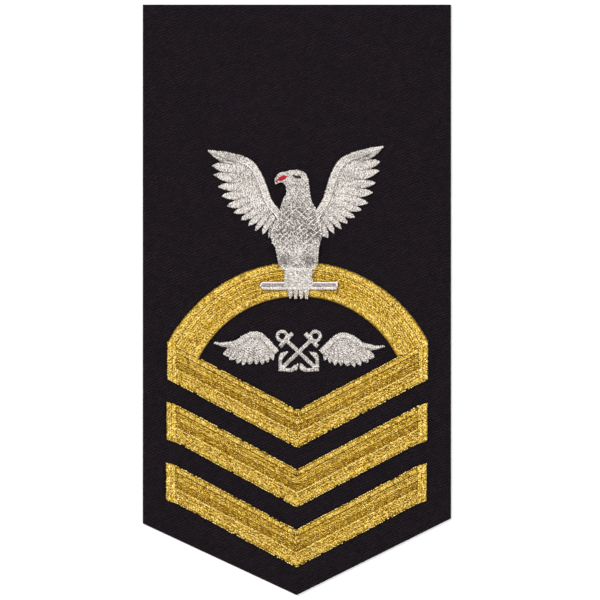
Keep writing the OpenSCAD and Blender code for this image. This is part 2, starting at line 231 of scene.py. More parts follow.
# %% [markdown]
# ## Cutting lines at an outline
#
# Thread may only lie inside its shape. A line that starts outside goes in at its first crossing
# with the outline, out at the next one, and so on. So every second stretch is kept. The same
# function serves parallel lines, fans and satin, and copes with holes without any special case.

# %% Lines inside an outline
PITCH = 0.31 * MM


def part_of(line, first, last):
    """The stretch of a line between two shares of its length."""
    start, span = line[:2], line[2:] - line[:2]
    return [*(start + span * first), *(start + span * last)]


def clip(lines, loops):
    """The parts of the lines that lie inside the loops."""
    corner = np.vstack(loops)
    edge = np.vstack([np.roll(loop, -1, axis=0) for loop in loops]) - corner
    low, high = corner.min(axis=0), corner.max(axis=0)
    near = np.all(np.minimum(lines[:, :2], lines[:, 2:]) < high, axis=1)
    near &= np.all(np.maximum(lines[:, :2], lines[:, 2:]) > low, axis=1)
    kept = []
    for line in lines[near]:
        span = line[2:] - line[:2]
        away = corner - line[:2]
        side = span[0] * away[:, 1] - span[1] * away[:, 0]
        change = span[0] * edge[:, 1] - span[1] * edge[:, 0]
        crossed = (side > 0) != (side + change > 0)
        share = -side[crossed] / change[crossed]
        hit = away[crossed] + edge[crossed] * share[:, None]
        cuts = np.sort(hit @ span / (span @ span))
        for first, last in zip(np.maximum(cuts[::2], 0), np.minimum(cuts[1::2], 1)):
            if last > first:
                kept.append(part_of(line, first, last))
    return np.array(kept).reshape(-1, 4)


def hatch(loops, angle, pitch=PITCH):
    """Parallel lines at an angle in degrees, cut off at the loops."""
    corner = np.vstack(loops)
    middle, reach = corner.mean(axis=0), np.ptp(corner, axis=0).max()
    way = np.array([math.cos(math.radians(angle)), math.sin(math.radians(angle))])
    centre = middle + left_of(way) * np.arange(-reach, reach, pitch)[:, None]
    return clip(np.hstack([centre - way * reach, centre + way * reach]), loops)


print("upright lines in the eagle's tail:", len(hatch(OUTLINES["eagle_tail"], 90)))

# %% [markdown]
# ## Fans and satin
#
# Feathers and the arc are sewn in rings round one spot, with a fresh start in every ring, because
# a fan that ran right through would leave gaps at its wide end. Satin starts at the edge and runs
# square to it, so it needs evenly spaced points along the outline and the direction inward there.

# %% Fan and satin lines
EDGE_START = 0.01 * MM


def fan(centre, rings, loops, spread=0.0, pitch=PITCH):
    """Lines that point away from a centre, ring by ring with uneven overlaps, cut off at the loops."""
    found = []
    for near, far in zip(rings, rings[1:]):
        count = int(math.pi * (near + far) / pitch)
        turn = (np.arange(count) + rng.random()) * 2 * math.pi / count
        way = np.stack([np.cos(turn), np.sin(turn)], axis=1)
        ends = rng.uniform(0, spread, (2, count, 1))
        lines = np.hstack([centre + way * (near - ends[0]), centre + way * (far + ends[1])])
        found.append(clip(lines, loops))
    return np.vstack(found)


def walk(loop, pitch=PITCH):
    """Points evenly along a closed loop, and the direction inward at each."""
    edge = np.roll(loop, -1, axis=0) - loop
    reach = np.concatenate([[0], np.cumsum(length_of(edge))])
    count = round(reach[-1] / pitch)
    at = (np.arange(count) + 0.5) * reach[-1] / count
    index = np.searchsorted(reach, at) - 1
    ahead = unit(edge[index])
    points = loop[index] + ahead * (at - reach[index])[:, None]
    inward = left_of(ahead)
    return points, unit(inward + np.roll(inward, 1, axis=0) + np.roll(inward, -1, axis=0))


def satin(loop, loops, longest, start=EDGE_START, pitch=PITCH):
    """Lines from just inside a loop inward to where they leave the solid, or to longest."""
    points, inward = walk(loop, pitch)
    lines = []
    for ray in np.hstack([points + inward * start, points + inward * longest]):
        parts = clip(ray[None], loops)
        if len(parts):
            lines.append(parts[length_of(parts[:, :2] - ray[:2]).argmin()])
    return np.array(lines)


print("needle holes round the eagle's head:", len(walk(OUTLINES["eagle_head"][0])[0]))

# %% [markdown]
# ## From lines to stitches
#
# A machine can't lay one long float across a wide shape, because it would snag. It cuts each line
# into stitches and moves the cuts on from line to line, so that no seam shows. Real ends are also
# never quite level. A little randomness here does more for the look than any texture.

# %% Cutting and loosening lines
SHORTEST_SHARE = 0.35
BEAD_SHARE = 0.38


def split(lines, length, drift=0.37):
    """Cuts lines into stitches. From line to line the cuts move on by a share of the length."""
    found = []
    for row, line in enumerate(lines):
        total = length_of(line[2:] - line[:2])
        cuts = np.arange((row * drift) % 1 * length, total, length)
        cuts = cuts[(cuts > SHORTEST_SHARE * length) & (cuts < total - SHORTEST_SHARE * length)]
        cuts = np.concatenate([[0], cuts, [total]]) / total
        found += [part_of(line, first, last) for first, last in zip(cuts, cuts[1:])]
    return np.array(found)


def banded(lines, cuts, spread):
    """Cuts every line near the same shares of its length: first the stitches of the first row."""
    span = lines[:, 2:] - lines[:, :2]
    found = []
    for first, last in zip(cuts, cuts[1:]):
        ends = np.array([[first], [last]]) + rng.uniform(-spread, spread, (2, len(lines)))
        ends = np.clip(ends, 0, 1)[:, :, None]
        found.append(np.hstack([lines[:, :2] + span * ends[0], lines[:, :2] + span * ends[1]]))
    return np.vstack(found)


def ragged(lines, spread, longer=(0.0, 0.0)):
    """Makes each line longer at its start and its end, and moves both ends by a random amount."""
    way = unit(lines[:, 2:] - lines[:, :2])
    shift = rng.uniform(-spread, spread, (len(lines), 2)) + longer
    return np.hstack([lines[:, :2] - way * shift[:, :1], lines[:, 2:] + way * shift[:, 1:]])


def toothed(lines, longer):
    """Starts every second line a little further out, for an edge with fine teeth."""
    way = unit(lines[:, 2:] - lines[:, :2])
    shift = np.where(np.arange(len(lines)) % 2, longer, 0)[:, None]
    return np.hstack([lines[:, :2] - way * shift, lines[:, 2:]])


def beads(loop, spacing, inset):
    """Short lines one after the other along a loop, a little inside it."""
    points, inward = walk(loop, spacing)
    middle = points + inward * inset
    reach = left_of(inward) * (BEAD_SHARE * spacing)
    return np.hstack([middle + reach, middle - reach])


print("a 10 mm line in 3 mm stitches:", len(split(np.array([[0.0, 0.0, 10.0, 0.0]]), 3)), "parts")

# %% [markdown]
# ## Loops that bend and shrink
#
# Each piece also gets a low cushion under its thread, as padding felt does on a real badge. Its
# outline is the drawn one, moved inward a little. Long straight edges first get extra points, so
# that the cushion can follow the thread when that is shifted below.

# %% Finer and smaller loops
SHARPEST = 0.3


def finer(loop, longest=2 * MM):
    """A loop with extra points on its long edges, so that it can bend there."""
    parts = []
    for start, end in zip(loop, np.roll(loop, -1, axis=0)):
        count = int(length_of(end - start) / longest) + 1
        parts.append(start + (end - start) * np.arange(count)[:, None] / count)
    return np.vstack(parts)


def shrunk(loop, inset):
    """A loop moved inward by inset."""
    before, after = loop - np.roll(loop, 1, axis=0), np.roll(loop, -1, axis=0) - loop
    way = unit(before) + unit(after)
    way /= np.maximum(length_of(way), SHARPEST)[:, None]
    return loop + left_of(way) * inset


tail_loop = OUTLINES["eagle_tail"][0]
print("corners of the tail:", len(tail_loop), "and with extra points:", len(finer(tail_loop)))

# %% [markdown]
# ## As sewn, not as drawn
#
# A drawing is even on both sides, but cloth gives under the needle, so a real badge is not. On this
# one the chevrons lean to the left and their arms rise more than drawn, most of all on the left,
# and the left half of the arc is flatter. All of this is a few tenths of a millimetre. It is done to
# finished stitches, so that every step before it can count on the even drawing.

# %% Small shifts, in millimetres
SHIFTS = {
    "chevron_upper": (0.10, 0.06),
    "chevron_middle": (-0.10, 0.16),
    "chevron_lower": (-0.29, 0.10),
    "wing_left": (0.0, -0.06),
    "wing_right": (-0.15, -0.06),
    "winglet_": (0.16, -0.12),
    "anchor_": (0.08, 0.16),
    "eagle_head": (-0.08, -0.22),
    "eagle_body": (0.03, -0.06),
}
ARM_RISES = {
    "chevron_upper": (0.18, 0.13),
    "chevron_middle": (0.55, 0.18),
    "chevron_lower": (0.38, 0.14),
}
ARM_SPAN = 30
CORNER_DROPS = {"chevron_middle": 0.6, "chevron_lower": 0.6}
CORNER_AT = [38.3, 41.3]
SWELL_AT = [-41, -35, -27, -15, 0, 12, 41]
SWELL = [-0.25, -0.5, -0.35, -0.13, 0.03, 0.25, 0.22]
CREST_RADIUS = 46.3


def found_for(node, table, otherwise):
    """The value in a table whose key the node's name starts with."""
    return next((value for start, value in table.items() if node.startswith(start)), otherwise)


def as_sewn(node, places):
    """Where the points (x, y) of a drawn piece lie on the real one."""
    x = places[:, 0] / MM
    right, up = found_for(node, SHIFTS, (0, 0))
    left_rise, right_rise = found_for(node, ARM_RISES, (0, 0))
    up = up + np.where(x < 0, left_rise, right_rise) * np.clip(np.abs(x) / ARM_SPAN, 0, 1)
    up = up - np.interp(np.abs(x), CORNER_AT, [0, found_for(node, CORNER_DROPS, 0)])
    if node.startswith("arc_"):
        swell, lean = np.interp(x, SWELL_AT, SWELL), x / CREST_RADIUS
        right, up = swell * lean, swell * np.sqrt(1 - lean**2)
    return places + np.column_stack([right + 0 * x, up]) * MM


print("largest shift:", max(rises[0] for rises in ARM_RISES.values()), "mm at the end of an arm")

# %% [markdown]
# ## A stitch in numbers
#
# A stitch is a short piece of round, slightly flattened yarn that comes up through the cloth, runs
# flat and goes down again. Nine numbers are enough to describe one: the x and y of both ends, the
# heights of its start, its crown and its end, its width and its lightness. A whole piece is then
# one table, and a little chance in every row keeps it from looking printed.

# %% Rows of stitches
THREAD_WIDTH = 0.36 * MM
WIDTH_RANGE = (0.92, 1.06)
SHALLOW = 0.13 * MM
UNEVEN_TOP = 0.06 * MM


def stitches(lines, heights, shade, width=THREAD_WIDTH, spread=0.1):
    """One row of numbers for each line: its ends, its three heights, its width and its lightness."""
    count = len(lines)
    start, crown, end = (np.broadcast_to(height, count) for height in heights)
    crown = crown - rng.uniform(0, UNEVEN_TOP, count)
    width = width * rng.uniform(*WIDTH_RANGE, count)
    shade = np.broadcast_to(shade, count) + rng.uniform(-spread, spread, count)
    return np.column_stack([lines, start, crown, end, width, shade])


def arched(node, first=SHALLOW, last=SHALLOW, more=0.0):
    """Heights of a stitch on a node: its crown at the node's top, its ends a little below."""
    top = level(node)[1]
    return top - first, top + more, top - last


print("heights on the tail, mm:", [round(height / MM, 2) for height in arched("eagle_tail")])

# %% [markdown]
# ## Thread from arrays
#
# One array of rings describes all the threads of a piece: each stitch has the same few rings of six
# points, moved along its line and lifted by an arch. Working on whole arrays makes thousands of
# stitches in well under a second, and each piece becomes a single mesh.
#
# Every point also keeps where it lies on its thread, how light that thread is and a random number.
# The material later reads these three, so a colour can run along the thread and not across it.

# %% Tubes
THREAD_HEIGHT = 0.27 * MM
ARCH = 2.6
LONG_RINGS = np.array([0, 0.08, 0.3, 0.7, 0.92, 1])
SHORT_RINGS = np.array([0, 0.16, 0.84, 1])
END_WIDTH = 0.55
AROUND = np.arange(6) * math.pi / 3


def tube_faces(count, rings, size):
    """The walls and the two end caps of many tubes, as numbers of their points."""
    base = (np.arange(count) * rings * size)[:, None, None]
    base = base + (np.arange(rings - 1) * size)[:, None]
    here, after = np.arange(size), np.roll(np.arange(size), -1)
    walls = np.stack([base + here, base + after, base + size + after, base + size + here], axis=-1)
    ends = np.arange(count)[:, None] * rings * size
    caps = np.vstack([ends + here[::-1], ends + (rings - 1) * size + here])
    return walls.reshape(-1, 4).tolist() + caps.tolist()


def tubes(rows, rings):
    """Points, faces and thread values of an arched tube for each row."""
    start, span = rows[:, :2], rows[:, 2:4] - rows[:, :2]
    first, crown, last, width, shade = rows[:, 4:].T
    length = length_of(span)
    way = span / length[:, None]
    rise = (1 - np.abs(2 * rings - 1) ** ARCH) ** (1 / ARCH)
    taper = np.where((rings == 0) | (rings == 1), END_WIDTH, 1)
    foot = np.where(rings < 0.5, first[:, None], last[:, None])
    along = length[:, None] * rings
    height = foot + (crown[:, None] - foot) * rise - THREAD_HEIGHT / 2
    slope = np.arctan2(np.gradient(height, axis=1), np.gradient(along, axis=1))
    wide = (width / 2)[:, None, None] * taper[:, None] * np.cos(AROUND)
    thick = THREAD_HEIGHT / 2 * taper[:, None] * np.sin(AROUND)
    forward = along[:, :, None] - np.sin(slope)[:, :, None] * thick
    points = np.empty((*forward.shape, 3))
    points[..., :2] = start[:, None, None] + way[:, None, None] * forward[..., None]
    points[..., :2] += left_of(way)[:, None, None] * wide[..., None]
    points[..., 2] = height[:, :, None] + np.cos(slope)[:, :, None] * thick
    turn = np.broadcast_to(AROUND, forward.shape)
    thread = np.stack([np.cos(turn), np.sin(turn), forward / MM], axis=-1)
    each = len(rings) * len(AROUND)
    values = {
        "thread": thread.reshape(-1, 3),
        "shade": np.repeat(shade, each),
        "seed": np.repeat(rng.random(len(rows)), each),
    }
    return points.reshape(-1, 3), tube_faces(*forward.shape), values


print("faces of one short stitch:", len(tube_faces(1, len(SHORT_RINGS), len(AROUND))))

# %% [markdown]
# ## Cushions and meshes
#
# The cushion closes the small gaps between threads, through which the dark cloth would shine, and
# gives the piece a solid body. It is the outline at two heights with a wall between them. What
# belongs to a thread is stored on the mesh as attributes, one value for each point.

# %% Cushions and meshes
def pad(loops, low, high, inset):
    """Points and faces of a low cushion inside the loops, which fills the space under the thread."""
    rim = [shrunk(loop, inset) for loop in loops]
    flat = np.vstack(rim)
    count = len(flat)
    points = np.vstack([np.column_stack([flat, np.full(count, z)]) for z in (high, low)])
    faces = [list(face) for face in tessellate_polygon([[(*p, 0) for p in loop] for loop in rim])]
    first = 0
    for loop in rim:
        here = first + np.arange(len(loop))
        after = np.roll(here, -1)
        faces += np.stack([here + count, after + count, after, here], axis=1).tolist()
        first += len(loop)
    return points, faces


def mesh_piece(name, points, faces, values, material):
    """An object from arrays, with one attribute for each of the values, riding on the badge."""
    mesh = bpy.data.meshes.new(name)
    mesh.from_pydata(points.tolist(), [], faces)
    for key, value in values.items():
        kind, field = ("FLOAT_VECTOR", "vector") if value.ndim == 2 else ("FLOAT", "value")
        attribute = mesh.attributes.new(key, kind, "POINT")
        attribute.data.foreach_set(field, value.astype(np.float32).ravel())
    mesh.shade_smooth()
    mesh.materials.append(material)
    piece = bpy.data.objects.new(name, mesh)
    bpy.context.scene.collection.objects.link(piece)
    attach(piece, "root")
    return piece


print("points of a cushion under the tail:", len(pad(OUTLINES["eagle_tail"], 0, MM, 0)[0]))

# %% [markdown]
# ## Sewing one piece
#
# This step puts the parts together. It shifts the finished rows and the outline in the same way,
# sets the threads on their cushion, and hides the node that the result stands for. The
# cushion reaches a little into the cloth, so that no light passes under it.

# %% Sew a piece
SEW_DEPTH = 0.1 * MM
MATERIALS = {}


def sew(
    node,
    slot,
    rows,
    loops=None,
    rings=SHORT_RINGS,
    base=0.25,
    lift=0.25 * MM,
    inset=0.04 * MM,
    like=None,
):
    """The stitched piece that stands for a node: its threads over a cushion."""
    low, high = level(like or node)
    loops = [as_sewn(node, finer(loop)) for loop in loops or OUTLINES[node]]
    rows = np.hstack([as_sewn(node, rows[:, :2]), as_sewn(node, rows[:, 2:4]), rows[:, 4:]])
    points, faces, values = tubes(rows, rings)
    cushion, below = pad(loops, low - SEW_DEPTH, high - lift, inset)
    faces += [[corner + len(points) for corner in face] for face in below]
    count = len(cushion)
    # The cushion's dark tone is underlay thread and partly painted shade in the gaps between threads.
    under = {"thread": np.zeros((count, 3)), "shade": np.full(count, base), "seed": np.zeros(count)}
    values = {key: np.concatenate([value, under[key]]) for key, value in values.items()}
    points = np.vstack([points, cushion])
    piece = mesh_piece(node + "_sewn", points, faces, values, MATERIALS[slot])
    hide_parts(node)
    triangles = sum(len(face) - 2 for face in faces)
    print(piece.name, len(rows), "stitches,", triangles, "triangles")


print("ready to sew", len(OUTLINES), "outlines")

# %% [markdown]
# ## Shared effects as node groups
#
# Every thread on the badge is made alike, and so they share one node group. The cloth has a group
# of its own. Both are built from the same few nodes, so each kind of node gets a helper that makes
# it, plugs it in and returns its result. The lines below then read like sums.

# %% Node helpers
def node_group(name, inputs, outputs):
    """A new node group with named inputs and outputs, and its two end nodes."""
    tree = bpy.data.node_groups.new(name, "ShaderNodeTree")
    for label, kind, value in inputs:
        socket = tree.interface.new_socket(label, in_out="INPUT", socket_type=kind)
        socket.default_value = value
    for label, kind in outputs:
        tree.interface.new_socket(label, in_out="OUTPUT", socket_type=kind)
    return tree, tree.nodes.new("NodeGroupInput"), tree.nodes.new("NodeGroupOutput")


def plug(tree, node, **values):
    """Sets or links a node's inputs by name, with _ for a space, or by number as in i0."""
    for label, value in values.items():
        numbered = label[0] == "i" and label[1:].isdigit()
        socket = node.inputs[int(label[1:]) if numbered else label.replace("_", " ")]
        if isinstance(value, bpy.types.NodeSocket):
            tree.links.new(value, socket)
        else:
            socket.default_value = value
    return node


def calc(tree, operation, first, second=0.0, third=0.0):
    """A math node's result."""
    node = tree.nodes.new("ShaderNodeMath")
    node.operation = operation
    return plug(tree, node, i0=first, i1=second, i2=third).outputs[0]


def blend(tree, share, first, second):
    """A mix of two colours."""
    node = tree.nodes.new("ShaderNodeMix")
    node.data_type = "RGBA"
    node.clamp_factor = True
    return plug(tree, node, i0=share, i6=first, i7=second).outputs[2]


def noise(tree, vector, scale, detail=2.0):
    """A noise texture's value."""
    node = tree.nodes.new("ShaderNodeTexNoise")
    return plug(tree, node, Vector=vector, Scale=scale, Detail=detail).outputs[0]


def spread_out(tree, value, low, high):
    """The value stretched so that low becomes 0 and high becomes 1, without going past them."""
    node = tree.nodes.new("ShaderNodeMapRange")
    return plug(tree, node, Value=value, From_Min=low, From_Max=high).outputs[0]


def attribute(tree, name, vector=False):
    """What a mesh keeps under that name."""
    node = tree.nodes.new("ShaderNodeAttribute")
    node.attribute_name = name
    return node.outputs["Vector" if vector else "Fac"]


COLOUR, FLOAT = "NodeSocketColor", "NodeSocketFloat"
print("node helpers ready, with sockets", COLOUR, "and", FLOAT)

# %% [markdown]
# ## The thread's look
#
# Metallic thread is a flat strip wound round a core like a screw, about three turns to the
# millimetre. Each turn lies a little differently, so one flashes and the next sinks into shade, and
# that is what gives the embroidery its grain. A smooth noise would look like stains. So the group
# counts the turns and gives each a random lightness of its own, a painted glint or painted shade,
# and partly every second one more.

# %% Wound thread group
TURNS = 2.7
SEED_SPREAD = 997.0
CORE_RANGE = (0.1, 0.5)
FACET_RANGE = (0.2, 0.8)
FLASH_RANGE = (0.75, 0.95)

thread_tree, thread_in, thread_out = node_group(
    "wound_thread",
    [
        ("Dark", COLOUR, (0.2, 0.1, 0.02, 1)),
        ("Light", COLOUR, (0.8, 0.6, 0.2, 1)),
        ("Flash", COLOUR, (1, 0.9, 0.6, 1)),
        ("Grain", FLOAT, 1.0),
        ("Sparkle", FLOAT, 0.5),
        ("Calm", FLOAT, 0.0),
        ("Even", FLOAT, 0.3),
    ],
    [("Colour", COLOUR), ("Height", FLOAT)],
)


def turns_of(tree, round_x, round_y, along, seed):
    """Where a point lies on the winding: its turn's number and a part of it."""
    angle = calc(tree, "MULTIPLY", calc(tree, "ARCTAN2", round_y, round_x), 0.5 / math.pi)
    return calc(tree, "ADD", calc(tree, "MULTIPLY_ADD", along, TURNS, angle), seed)


def facet_of(tree, turns, seed, even):
    """A value from 0 to 1 for each turn: random, and by the share even every second one higher."""
    place = tree.nodes.new("ShaderNodeCombineXYZ")
    plug(tree, place, X=calc(tree, "FLOOR", turns), Y=calc(tree, "MULTIPLY", seed, SEED_SPREAD))
    chance = tree.nodes.new("ShaderNodeTexWhiteNoise")
    chance.noise_dimensions = "2D"
    chance = plug(tree, chance, Vector=place.outputs[0]).outputs["Value"]
    every_second = calc(tree, "FRACT", calc(tree, "MULTIPLY", turns, 0.5))
    every_second = calc(tree, "GREATER_THAN", every_second, 0.5)
    return calc(tree, "MULTIPLY_ADD", calc(tree, "SUBTRACT", every_second, chance), even, chance)


def fill_thread_group(tree, entry, exit_node):
    """Turns of a flat strip round the thread, each of which lies a little differently, shown by
    painted glints and shade.
    """
    parts = tree.nodes.new("ShaderNodeSeparateXYZ")
    plug(tree, parts, Vector=attribute(tree, "thread", vector=True))
    round_x, round_y, along = parts.outputs
    seed, shade = attribute(tree, "seed"), attribute(tree, "shade")
    turns = turns_of(tree, round_x, round_y, along, seed)
    facet = facet_of(tree, turns, seed, entry.outputs["Even"])
    ridge = calc(tree, "SINE", calc(tree, "MULTIPLY", calc(tree, "FRACT", turns), math.pi))
    radius = calc(tree, "MULTIPLY_ADD", round_x, round_x, calc(tree, "MULTIPLY", round_y, round_y))
    on_thread = spread_out(tree, radius, *CORE_RANGE)
    # Painted glints and shade: each turn gets a random lightness round the stitch's own.
    swing = calc(tree, "SUBTRACT", spread_out(tree, facet, *FACET_RANGE), 0.5)
    calm = calc(tree, "MULTIPLY", entry.outputs["Calm"], shade)
    swing = calc(tree, "MULTIPLY", swing, calc(tree, "SUBTRACT", 1.0, calm))
    swing = calc(tree, "MULTIPLY", swing, on_thread)
    swing = calc(tree, "MULTIPLY_ADD", swing, entry.outputs["Grain"], 1.0)
    lightness = calc(tree, "MULTIPLY", shade, swing)
    colour = blend(tree, lightness, entry.outputs["Dark"], entry.outputs["Light"])
    # Painted glint: the brightest turns are mixed toward the flash colour.
    flash = spread_out(tree, facet, *FLASH_RANGE)
    flash = calc(tree, "MULTIPLY", flash, entry.outputs["Sparkle"])
    flash = calc(tree, "MULTIPLY", calc(tree, "MULTIPLY", flash, shade), on_thread)
    flash = calc(tree, "MAXIMUM", flash, calc(tree, "SUBTRACT", lightness, 1.0))
    plug(tree, exit_node, Colour=blend(tree, flash, colour, entry.outputs["Flash"]), Height=ridge)


fill_thread_group(thread_tree, thread_in, thread_out)
print("group:", thread_tree.name, "with", len(thread_tree.nodes), "nodes")

# %% [markdown]
# ## The kinds of thread
#
# Gold for the frames and the arc's borders, a livelier gold for the fields, silver for the eagle and
# the emblem, and a little lilac grey, red and black. Dark, light and flash are painted colours of a
# turn in shade, in light and in full shine. Metal alone would be too dark between its highlights.
# Fine strip scatters light and lets its core show through, so none of them is all metal.

# %% Thread materials
COLOURS = {
    "gold_thread_border": [(0.13, 0.046, 0.0), (0.68, 0.450, 0.045), (1.0, 0.84, 0.34)],
    "gold_thread_field": [(0.12, 0.040, 0.0), (0.68, 0.440, 0.038), (1.0, 0.82, 0.32)],
    "silver_thread": [(0.11, 0.10, 0.087), (0.70, 0.645, 0.60), (1.0, 0.98, 0.95)],
    "lilac_grey_thread": [(0.16, 0.13, 0.14), (0.56, 0.48, 0.50), (0.85, 0.82, 0.83)],
    "red_thread": [(0.26, 0.0, 0.008), (0.45, 0.001, 0.026), (0.7, 0.02, 0.05)],
    "black_thread": [(0.004, 0.004, 0.004), (0.014, 0.013, 0.014), (0.05, 0.05, 0.05)],
}
GLINT_SETTINGS = {
    "gold_thread_border": {"Grain": 2.3, "Sparkle": 1.1, "Calm": 0.3, "Even": 0.15},
    "gold_thread_field": {"Grain": 2.8, "Sparkle": 1.25, "Calm": 0.36, "Even": 0.3},
    "silver_thread": {"Grain": 3.7, "Sparkle": 0.7, "Calm": 0.8, "Even": 0.3},
    "lilac_grey_thread": {"Grain": 1.4, "Sparkle": 0.5, "Calm": 0.0, "Even": 0.3},
    "red_thread": {"Grain": 0.6, "Sparkle": 0.2, "Calm": 0.0, "Even": 0.3},
    "black_thread": {"Grain": 0.6, "Sparkle": 0.2, "Calm": 0.0, "Even": 0.3},
}
SURFACES = {
    "gold_thread_border": {"Metallic": 0.75, "Roughness": 0.4, "Specular IOR Level": 0.08},
    "gold_thread_field": {"Metallic": 0.75, "Roughness": 0.4, "Specular IOR Level": 0.08},
    "silver_thread": {"Metallic": 0.4, "Roughness": 0.4, "Specular IOR Level": 0.25},
    "lilac_grey_thread": {"Metallic": 0.2, "Roughness": 0.45, "Specular IOR Level": 0.25},
    "red_thread": {"Metallic": 0.0, "Roughness": 0.6, "Specular IOR Level": 0.25},
    "black_thread": {"Metallic": 0.0, "Roughness": 0.6, "Specular IOR Level": 0.25},
}
WINDING_DEPTH = 0.05 * MM


def group_material(name, tree, depth, surface, **values):
    """A material whose colour and relief come from a node group, with constants on its shader."""
    material = bpy.data.materials.new(name)
    material.use_nodes = True
    nodes = material.node_tree
    shader = nodes.nodes["Principled BSDF"]
    group = nodes.nodes.new("ShaderNodeGroup")
    group.node_tree = tree
    plug(nodes, group, **values)
    bump = nodes.nodes.new("ShaderNodeBump")
    plug(nodes, bump, Height=group.outputs["Height"], Distance=depth)
    nodes.links.new(group.outputs["Colour"], shader.inputs["Base Color"])
    nodes.links.new(bump.outputs["Normal"], shader.inputs["Normal"])
    for label, value in surface.items():
        shader.inputs[label].default_value = value
    return material


for slot, tones in COLOURS.items():
    tones = {label: (*tone, 1) for label, tone in zip(("Dark", "Light", "Flash"), tones)}
    MATERIALS[slot] = group_material(
        slot, thread_tree, WINDING_DEPTH, SURFACES[slot], **tones, **GLINT_SETTINGS[slot]
    )
print("thread materials:", ", ".join(MATERIALS))

# %% [markdown]
# ## The cloth's weave
#
# The panel is heavy wool twill on a stiff backing, cut plain. Twill shows as slanting ribs less
# than a millimetre apart, each made of short lengths of yarn. They are far too fine for the mesh,
# so they are a second node group that works in the cloth's own plane. Two slow noises bend the
# ribs, because woven wool is never as straight as ruled lines.

# %% Twill group
RIB_ANGLE = 24
RIB_PITCH = 0.82
RIB_BEND = 0.9
FLOAT_LENGTH = 1.1
STEP_ON = 0.37
YARN_SHARE = 0.4
YARN_ROUND = 0.4
TONE_RANGE = (0.3, 0.95)

twill_tree, twill_in, twill_out = node_group(
    "wool_twill",
    [
        ("Dark", COLOUR, (0.01, 0.01, 0.01, 1)),
        ("Light", COLOUR, (0.02, 0.02, 0.02, 1)),
        ("Fuzz", FLOAT, 1.0),
    ],
    [("Colour", COLOUR), ("Height", FLOAT)],
)


def humps(tree, value):
    """A row of round humps from 0 to 1, one for each whole step of the value."""
    wave = calc(tree, "PINGPONG", value, 0.5)
    return calc(tree, "SINE", calc(tree, "MULTIPLY", wave, math.pi))


def fill_twill_group(tree, entry, exit_node):
    """Slanting ribs, each made of short yarn lengths, with loose fibre over them and painted shade in
    their hollows.
    """
    turned = tree.nodes.new("ShaderNodeMapping")
    turned.vector_type = "TEXTURE"
    plug(tree, turned, Vector=tree.nodes.new("ShaderNodeTexCoord").outputs["Object"])
    turned.inputs["Rotation"].default_value = (0, 0, math.radians(RIB_ANGLE))
    turned.inputs["Scale"].default_value = (MM, MM, MM)
    place = turned.outputs[0]
    parts = tree.nodes.new("ShaderNodeSeparateXYZ")
    plug(tree, parts, Vector=place)
    across = calc(tree, "MULTIPLY_ADD", noise(tree, place, 0.35), RIB_BEND, parts.outputs[1])
    across = calc(tree, "MULTIPLY_ADD", noise(tree, place, 1.3), RIB_BEND, across)
    across = calc(tree, "DIVIDE", across, RIB_PITCH)
    step = calc(tree, "MULTIPLY", calc(tree, "FLOOR", across), STEP_ON)
    yarn = calc(tree, "ADD", calc(tree, "DIVIDE", parts.outputs[0], FLOAT_LENGTH), step)
    yarn = calc(tree, "POWER", humps(tree, yarn), YARN_ROUND)
    weave = calc(tree, "MULTIPLY_ADD", yarn, YARN_SHARE, 1 - YARN_SHARE)
    weave = calc(tree, "MULTIPLY", weave, humps(tree, across))
    rib_strength = calc(tree, "MULTIPLY_ADD", noise(tree, place, 0.5), 0.8, 0.3)
    weave = calc(tree, "MULTIPLY", weave, rib_strength)
    fibre = calc(tree, "SUBTRACT", noise(tree, place, 5.0, 3.0), 0.5)
    height = calc(tree, "ADD", weave, calc(tree, "MULTIPLY", fibre, entry.outputs["Fuzz"]))
    # Painted shade: the weave's low places get the dark colour, its raised yarn the light one.
    tone = spread_out(tree, height, *TONE_RANGE)
    colour = blend(tree, tone, entry.outputs["Dark"], entry.outputs["Light"])
    plug(tree, exit_node, Colour=colour, Height=height)


fill_twill_group(twill_tree, twill_in, twill_out)
print("group:", twill_tree.name, "with", len(twill_tree.nodes), "nodes")

# %% [markdown]
# ## The cloth's colour
#
# Pure black would look like a hole. Dark wool keeps a trace of purple brown, and its loose fibres
# catch some light, which a touch of sheen on the shader gives. Nearly all the rest is matt.

# %% Cloth material
TWILL_DEPTH = 0.18 * MM

MATERIALS["dark_cloth"] = group_material(
    "dark_cloth",
    twill_tree,
    TWILL_DEPTH,
    {
        "Metallic": 0.0,
        "Roughness": 0.95,
        "Specular IOR Level": 0.1,
        "Sheen Weight": 0.02,
        "Sheen Roughness": 0.5,
    },
    Dark=(0.0012, 0.0006, 0.0018, 1),
    Light=(0.0230, 0.0140, 0.0205, 1),
    Fuzz=3.6,
)
print("cloth ribs", RIB_PITCH, "mm apart")

# %% [markdown]
# ## The cloth's shape
#
# The mesh gets what is large enough to show at its edge and in raking light: rounded cut edges, the
# shallow puckers that tight embroidery pulls, and a soft crease. A plain grid bends more smoothly
# than a box with a bevel. Its columns run from the pointed lower edge to the top, and its steps are
# finer near the rim, where the edge is rounded. The real panel is cut a little askew, so each
# corner has its own small offset from the drawing.

# %% Cloth grid
STEP = 1.3 * MM
EDGE_STEPS = np.array([0, 0.08, 0.22, 0.45]) * MM
POINT_HEIGHT = 23.6 * MM
LEFT_OUT, RIGHT_OUT = 0.35 * MM, 0.12 * MM
TIP_LEFT, TIP_DOWN = 0.17 * MM, 0.21 * MM
LEFT_DOWN, RIGHT_UP = 1.05 * MM, 0.52 * MM

cloth_low, cloth_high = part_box("backing_cloth")
left_x, right_x, top_y = cloth_low.x - LEFT_OUT, cloth_high.x + RIGHT_OUT, cloth_high.y
tip_x, tip_y = -TIP_LEFT, cloth_low.y - TIP_DOWN
corner_y = cloth_low.y + POINT_HEIGHT
left_y, right_y = corner_y - LEFT_DOWN, corner_y + RIGHT_UP


